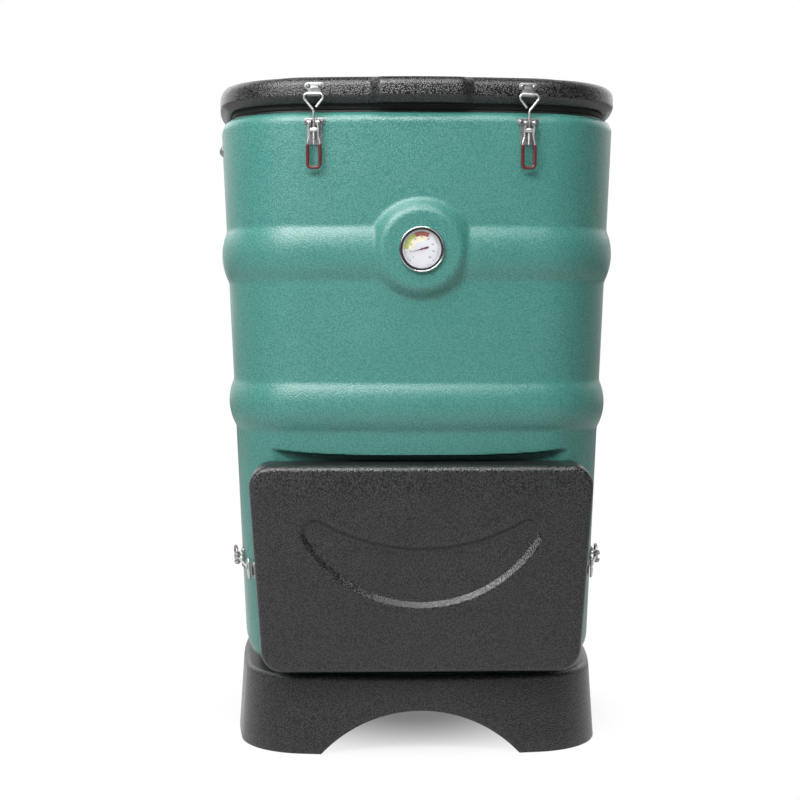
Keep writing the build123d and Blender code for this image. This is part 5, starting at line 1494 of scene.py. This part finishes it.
class COMPOSTBIN_OT_screws(Operator):
    """Sets the cross-slotted pan-head screws and breaks the edges of the hinges' leaves"""

    bl_idname = "compost_bin.screws"
    bl_label = "Screws and hinges"

    def execute(self, context):
        settings = context.scene.compost_bin
        latch, feature = settings.latch, settings.feature
        tree = scatter_tree("pan_head_screws")
        head = placed("pan_head", self.pan_head(latch))
        bracket, lid_keeper, hatch_keeper = [], [], []
        for name in LATCHES:
            body, keeper, _, _ = latch_frames(name)
            held = lid_keeper if name.startswith("lid") else hatch_keeper
            for side in (-0.5, 0.5):
                bracket.append(body @ Matrix.Translation((
                    side * latch.bracket_screws, latch.bracket_row, latch.bracket_seat)))
                held.append(keeper @ Matrix.Translation((
                    side * latch.keeper_screws, latch.keeper_row, latch.bracket_seat)))
        back = Matrix.Rotation(-math.pi / 2, 4, "X")
        hinge_lid, hinge_body = [], []
        for middle in (-0.5, 0.5):
            for side in (-0.5, 0.5):
                x = middle * feature.hinge_spacing + side * latch.hinge_screws
                lid_seat = settings.lid.pad + latch.hinge_leaf
                body_seat = feature.body_pad + latch.hinge_leaf
                hinge_lid.append(Matrix.Translation((x, lid_seat, latch.lid_leaf_row)) @ back)
                hinge_body.append(Matrix.Translation((x, body_seat, latch.body_leaf_row)) @ back)
        for name, rider, node, spots in (
            ("latch_bracket_screws", "bin", "bracket_screws", bracket),
            ("lid_keeper_pan_screws", "lid", "lid_keeper_screws", lid_keeper),
            ("hatch_keeper_pan_screws", "hatch", "hatch_keeper_screws", hatch_keeper),
            ("lid_leaf_pan_screws", "lid", "hinge_lid_screws", hinge_lid),
            ("body_leaf_pan_screws", "bin", "hinge_body_screws", hinge_body),
        ):
            mesh = grow(tree, self.spots(spots, latch.head_turn), {
                "Shape": head, "Material": finish("stainless")})
            piece(mesh, name, rider, "stainless", node)
        bpy.data.objects.remove(head)
        for name, body in (("lid", "lid"), ("body", "bin")):
            leaves = refined(f"hinge_{name}_leaves", LEAF_EDGE)
            piece(leaves, f"pressed_{name}_leaves", body, "stainless", f"hinge_{name}_leaves")
        return {"FINISHED"}

    def spots(self, frames, head_turn):
        """Point mesh whose points carry each screw's turn; every head is turned on from the one before."""
        mesh = bpy.data.meshes.new("spots")
        mesh.from_pydata([spot.translation for spot in frames], [], [])
        turns = []
        for i, spot in enumerate(frames):
            turns += (spot @ Matrix.Rotation(head_turn * i, 4, "Z")).to_euler()
        mesh.attributes.new("turn", "FLOAT_VECTOR", "POINT").data.foreach_set("vector", turns)
        return mesh

    def pan_head(self, latch):
        """Domed head with a cross recess, its seat at the origin."""
        dome = (latch.head_radius**2 + latch.head_height**2) / (2 * latch.head_height)
        low = math.asin((dome - latch.head_height) / dome)
        profile = [(0.0, -latch.head_sunk), (latch.head_radius, -latch.head_sunk)]
        profile += arc_rows(0.0, latch.head_height - dome, dome, low, UP, steps=8)
        head = to_mesh(lathe(profile, Matrix(), segments=28), "pan_head")
        half, wide = latch.slot_length / 2, latch.slot_width / 2
        slot = [(-half, -wide), (half, -wide), (half, wide), (-half, wide)]
        floor = latch.head_height - latch.slot_depth
        crosses = [
            to_mesh(prism(slot, Matrix.Rotation(turn, 4, "Z"), floor, 2 * latch.head_height), "slot")
            for turn in (0.0, math.pi / 2)]
        return cut(head, *crosses)


class COMPOSTBIN_OT_thermometer(Operator):
    """Prints the dial and makes the bezel, the needle and a black ring in the bezel that is painted shadow
    of its rim
    """

    bl_idname = "compost_bin.thermometer"
    bl_label = "Thermometer"

    def execute(self, context):
        dial = context.scene.compost_bin.dial
        place = dial_frame()
        face = place @ Matrix.Translation((0, 0, -dial.dial_sunk))
        lip, bend = dial.bezel_height, dial.bezel_round
        bore = dial.bezel_radius - dial.bezel_sheet
        bezel = round_corners([
            (dial.bezel_radius, 0.0, 0.0), (dial.bezel_radius, lip, bend),
            (bore, lip, bend), (bore, 0.0, 0.0)], steps=5)
        rim = to_mesh(lathe(bezel, place), "bezel")
        piece(rim, "rolled_bezel", "bin", "bezel_steel", "thermometer_bezel")
        glass_top = dial.glass_low + dial.glass_sheet
        # A black ring on the glass's edge inside the bezel: painted shadow of the bezel's rim on the dial
        ring = [(bore, glass_top), (bore, lip - bend), (dial.window_radius, glass_top + dial.ring_lip),
                (dial.window_radius, glass_top)]
        shadow_ring_mesh = to_mesh(lathe(ring, place), "window_ring")
        piece(shadow_ring_mesh, "window_ring", "bin", "bezel_steel", coat="case_black")
        for name, ink, inner, outer, start, end in (
            ("cream_band", "cream_ink", dial.cream_inner, dial.band_inner, dial.band_start, dial.band_end),
            ("green_band", "green_ink", dial.band_inner, dial.band_outer, dial.band_change, dial.band_end),
            ("red_band", "red_ink", dial.band_inner, dial.band_outer, dial.band_start, dial.band_change),
        ):
            mesh = to_mesh(self.band(inner, outer, start, end, dial.print_lift, face), name)
            piece(mesh, name, "bin", "dial_white", coat=ink)
        ticks = grow(tick_tree(), bpy.data.meshes.new("ticks"), {
            "Steps": dial.tick_count, "Radius": dial.tick_radius,
            "Start": dial.scale_start - dial.scale_sweep, "Sweep": dial.scale_sweep,
            "Tick": (dial.tick_length, dial.tick_width, 2 * dial.print_lift),
            "Material": finish("black_ink")})
        ticks.transform(face)
        piece(ticks, "dial_ticks", "bin", "dial_white", coat="black_ink")
        piece(self.figures(dial, face), "dial_figures", "bin", "dial_white", coat="black_ink")
        piece(self.needle(dial, face), "lacquered_needle", "needle", "needle_black", "thermometer_needle")
        return {"FINISHED"}

    def needle(self, dial, place):
        """A slim pointer with a broad tail and a cap on its pivot."""
        low, high = dial.needle_lift, dial.needle_lift + dial.needle_sheet
        sides = [(-dial.needle_hub, dial.needle_half), (-2 * dial.needle_hub, dial.tail_half),
                 (-dial.needle_tail, dial.tail_half)]
        outline = [(dial.needle_reach, 0.0)] + sides + [(x, -y) for x, y in reversed(sides)]
        turned = place @ Matrix.Rotation(dial.needle_bearing, 4, "Z")
        cap = prism(
            circle(dial.needle_hub, steps=24), turned, high - dial.needle_sheet / 2, high + dial.needle_cap)
        return joined([to_mesh(prism(outline, turned, low, high), "pointer"), to_mesh(cap, "cap")], "needle")

    def band(self, inner, outer, start, end, lift, place):
        """A flat printed sector between two radii."""
        steps = max(2, round((end - start) / BAND_STEP))
        outline = arc_rows(0.0, 0.0, outer, start, end, steps) + arc_rows(0.0, 0.0, inner, end, start, steps)
        return prism(outline, place, 0.0, lift)

    def figures(self, dial, place):
        """The readings round the scale, as one raised print."""
        meshes = []
        count = dial.top_reading // dial.figure_step
        for i in range(count + 1):
            turn = dial.scale_start - dial.scale_sweep * i / count
            text = bpy.data.curves.new("figure", "FONT")
            text.body = str(i * dial.figure_step)
            text.size = dial.figure_height
            text.align_x = "CENTER"
            text.align_y = "CENTER"
            text.extrude = dial.print_lift
            mesh = baked(placed("figure", text))
            reach = dial.figure_radius
            spot = (reach * math.cos(turn), reach * math.sin(turn), dial.print_lift)
            mesh.transform(place @ Matrix.Translation(spot))
            meshes.append(mesh)
        return joined(meshes, "figures")


class COMPOSTBIN_OT_vent(Operator):
    """Breaks the edges of the vent and of the foam port's plug, and fits the vent's pin in its bore"""

    bl_idname = "compost_bin.vent"
    bl_label = "Vent and port"

    def execute(self, context):
        lid = context.scene.compost_bin.lid
        low, high = (corner[2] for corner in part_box("vent_shutter"))
        edge = lid.pivot_edge
        bore = to_mesh(self.turned(lid.pivot_bore, low - BORE_UNDER, high + BORE_OVER, edge), "bore")
        pivot = to_mesh(self.turned(lid.pivot_radius, low - PIVOT_UNDER, high, edge), "pivot")
        ring = joined([cut(refined("vent_ring", RING_EDGE), bore.copy()), pivot], "vent_ring")
        piece(ring, "moulded_vent_ring", "lid", "dark_liner", "vent_ring")
        shutter = cut(refined("vent_shutter", SHUTTER_EDGE), bore)
        piece(shutter, "moulded_shutter", "vent_shutter", "black_moulded", "vent_shutter")
        plug = refined("foam_port_plug", LEAF_EDGE)
        piece(plug, "spun_port_plug", "bin", "stainless", "foam_port_plug")
        return {"FINISHED"}

    def turned(self, radius, low, high, edge):
        """A solid pin on the bin's axis, its upper edge rounded."""
        profile = round_corners([
            (0.0, low, 0.0), (radius, low, 0.0), (radius, high, edge), (0.0, high, 0.0)])
        return lathe(profile, Matrix(), segments=48)


class COMPOSTBIN_OT_stage(Operator):
    """Sets the floor, the lamps, the world and the camera"""

    bl_idname = "compost_bin.stage"
    bl_label = "Set the stage"

    def execute(self, context):
        settings = context.scene.compost_bin.stage
        self.make_floor(settings)
        self.make_lamps()
        self.make_world(context.scene, settings)
        self.make_camera(context.scene, settings)
        context.scene.view_settings.view_transform = "Standard"
        return {"FINISHED"}

    def make_floor(self, settings):
        """Pale matt paper that turns to the plain background round the bin: a soft shadow, no horizon."""
        bm = bmesh.new()
        bmesh.ops.create_circle(bm, cap_ends=True, segments=96, radius=FLOOR_RADIUS)
        mesh = bpy.data.meshes.new("floor")
        bm.to_mesh(mesh)
        bm.free()
        floor = placed("floor", mesh)
        material, tree, place = new_material("pale_studio_paper")
        reach = add_node(tree, "ShaderNodeVectorMath", {0: place}, operation="LENGTH")
        far = add_node(tree, "ShaderNodeMapRange", {
            "Value": reach.outputs["Value"], "From Min": PAPER_START, "From Max": PAPER_END,
            "To Min": PAPER_LEAST}, interpolation_type="SMOOTHSTEP")
        near = add_node(tree, "ShaderNodeMapRange", {
            "Value": reach.outputs["Value"], "From Min": MIRROR_START, "From Max": MIRROR_END,
            "To Min": 1.0, "To Max": MIRROR_LEAST})
        seen = self.seen_directly(tree, near.outputs["Result"])
        blend = add_node(tree, "ShaderNodeMath", {
            0: far.outputs["Result"], 1: seen.outputs["Value"]}, operation="MULTIPLY")
        paper = add_node(tree, "ShaderNodeBsdfDiffuse", {"Color": linear(settings.floor_colour)})
        white = add_node(tree, "ShaderNodeEmission", {
            "Color": linear(settings.background), "Strength": 1.0})
        mixed = add_node(tree, "ShaderNodeMixShader", {
            0: blend.outputs["Value"], 1: paper.outputs["BSDF"], 2: white.outputs["Emission"]})
        add_node(tree, "ShaderNodeOutputMaterial", {"Surface": mixed.outputs["Shader"]})
        mesh.materials.append(material)

    def seen_directly(self, tree, share):
        """Gives 1 to the eye and through glass, and a share to a reflection."""
        path = add_node(tree, "ShaderNodeLightPath")
        shine = add_node(tree, "ShaderNodeMath", {
            0: path.outputs["Is Glossy Ray"], 1: share}, operation="MULTIPLY")
        clear = add_node(tree, "ShaderNodeMath", {
            0: shine.outputs["Value"], 1: path.outputs["Is Transmission Ray"]}, operation="MAXIMUM")
        return add_node(tree, "ShaderNodeMath", {
            0: path.outputs["Is Camera Ray"], 1: clear.outputs["Value"]}, operation="MAXIMUM")

    def make_lamps(self):
        for name, place, wide, tall, power in LAMPS:
            lamp = bpy.data.lights.new(name, "AREA")
            lamp.shape = "RECTANGLE"
            lamp.size = wide
            lamp.size_y = tall
            lamp.energy = power
            holder = placed(name, lamp)
            holder.location = place
            holder.visible_camera = False
            holder.rotation_euler = (AIM - Vector(place)).to_track_quat("-Z", "Y").to_euler()

    def make_world(self, scene, settings):
        world = bpy.data.worlds.new("studio")
        scene.world = world
        world.use_nodes = True
        tree = world.node_tree
        tree.nodes.clear()
        heading = add_node(tree, "ShaderNodeTexCoord")
        split = add_node(tree, "ShaderNodeSeparateXYZ", {"Vector": heading.outputs["Generated"]})
        wall = add_node(tree, "ShaderNodeMapRange", {
            "Value": split.outputs["Z"], "From Min": SKY_START, "From Max": SKY_END,
            "To Min": 1.0, "To Max": MIRROR_LEAST})
        behind = add_node(tree, "ShaderNodeMapRange", {
            "Value": split.outputs["Y"], "From Min": BACK_START, "From Max": BACK_END,
            "To Min": MIRROR_LEAST, "To Max": 1.0})
        backdrop = add_node(tree, "ShaderNodeMath", {
            0: wall.outputs["Result"], 1: behind.outputs["Result"]}, operation="MULTIPLY")
        seen = self.seen_directly(tree, backdrop.outputs["Value"])
        strength = add_node(tree, "ShaderNodeMapRange", {
            "Value": seen.outputs["Value"], "To Min": WORLD_FILL, "To Max": 1.0})
        light = add_node(tree, "ShaderNodeBackground", {
            "Color": linear(settings.background), "Strength": strength.outputs["Result"]})
        add_node(tree, "ShaderNodeOutputWorld", {"Surface": light.outputs["Background"]})

    def make_camera(self, scene, settings):
        lens = bpy.data.cameras.new("camera")
        camera = placed("camera", lens)
        lens.sensor_width = SENSOR_MM
        lens.sensor_fit = "HORIZONTAL"
        lens.lens = settings.focal / FRAME_PIXELS * SENSOR_MM
        lens.shift_y = (settings.horizon - FRAME_PIXELS / 2) / FRAME_PIXELS
        away, yaw = settings.distance, settings.yaw
        camera.location = (-away * math.sin(yaw), -away * math.cos(yaw), settings.height)
        pan = math.atan2(settings.middle_x - FRAME_PIXELS / 2, settings.focal)
        camera.rotation_euler = (math.pi / 2, 0.0, pan - yaw)
        scene.camera = camera


class COMPOSTBIN_PT_panel(Panel):
    """Lists the steps that dress the bin"""

    bl_idname = "COMPOSTBIN_PT_panel"
    bl_label = "Compost bin"
    bl_space_type = "VIEW_3D"
    bl_region_type = "UI"
    bl_category = "Compost bin"

    def draw(self, context):
        for operator in STEPS:
            self.layout.operator(operator.bl_idname)


STEPS = (
    COMPOSTBIN_OT_finishes, COMPOSTBIN_OT_body, COMPOSTBIN_OT_base, COMPOSTBIN_OT_lid, COMPOSTBIN_OT_hatch,
    COMPOSTBIN_OT_latches, COMPOSTBIN_OT_screws, COMPOSTBIN_OT_thermometer, COMPOSTBIN_OT_vent,
    COMPOSTBIN_OT_stage)
GROUPS = (
    WallSettings, FeatureSettings, BaseSettings, LidSettings, HatchSettings, DialSettings, LatchSettings,
    StageSettings, FinishSettings, BinSettings)


def register():
    for cls in GROUPS + STEPS + (COMPOSTBIN_PT_panel,):
        bpy.utils.register_class(cls)
    bpy.types.Scene.compost_bin = PointerProperty(type=BinSettings)


def unregister():
    del bpy.types.Scene.compost_bin
    for cls in reversed(GROUPS + STEPS + (COMPOSTBIN_PT_panel,)):
        bpy.utils.unregister_class(cls)


def main():
    register()
    for operator in STEPS:
        group, step = operator.bl_idname.split(".")
        getattr(getattr(bpy.ops, group), step)()


if __name__ == "__main__":
    main()
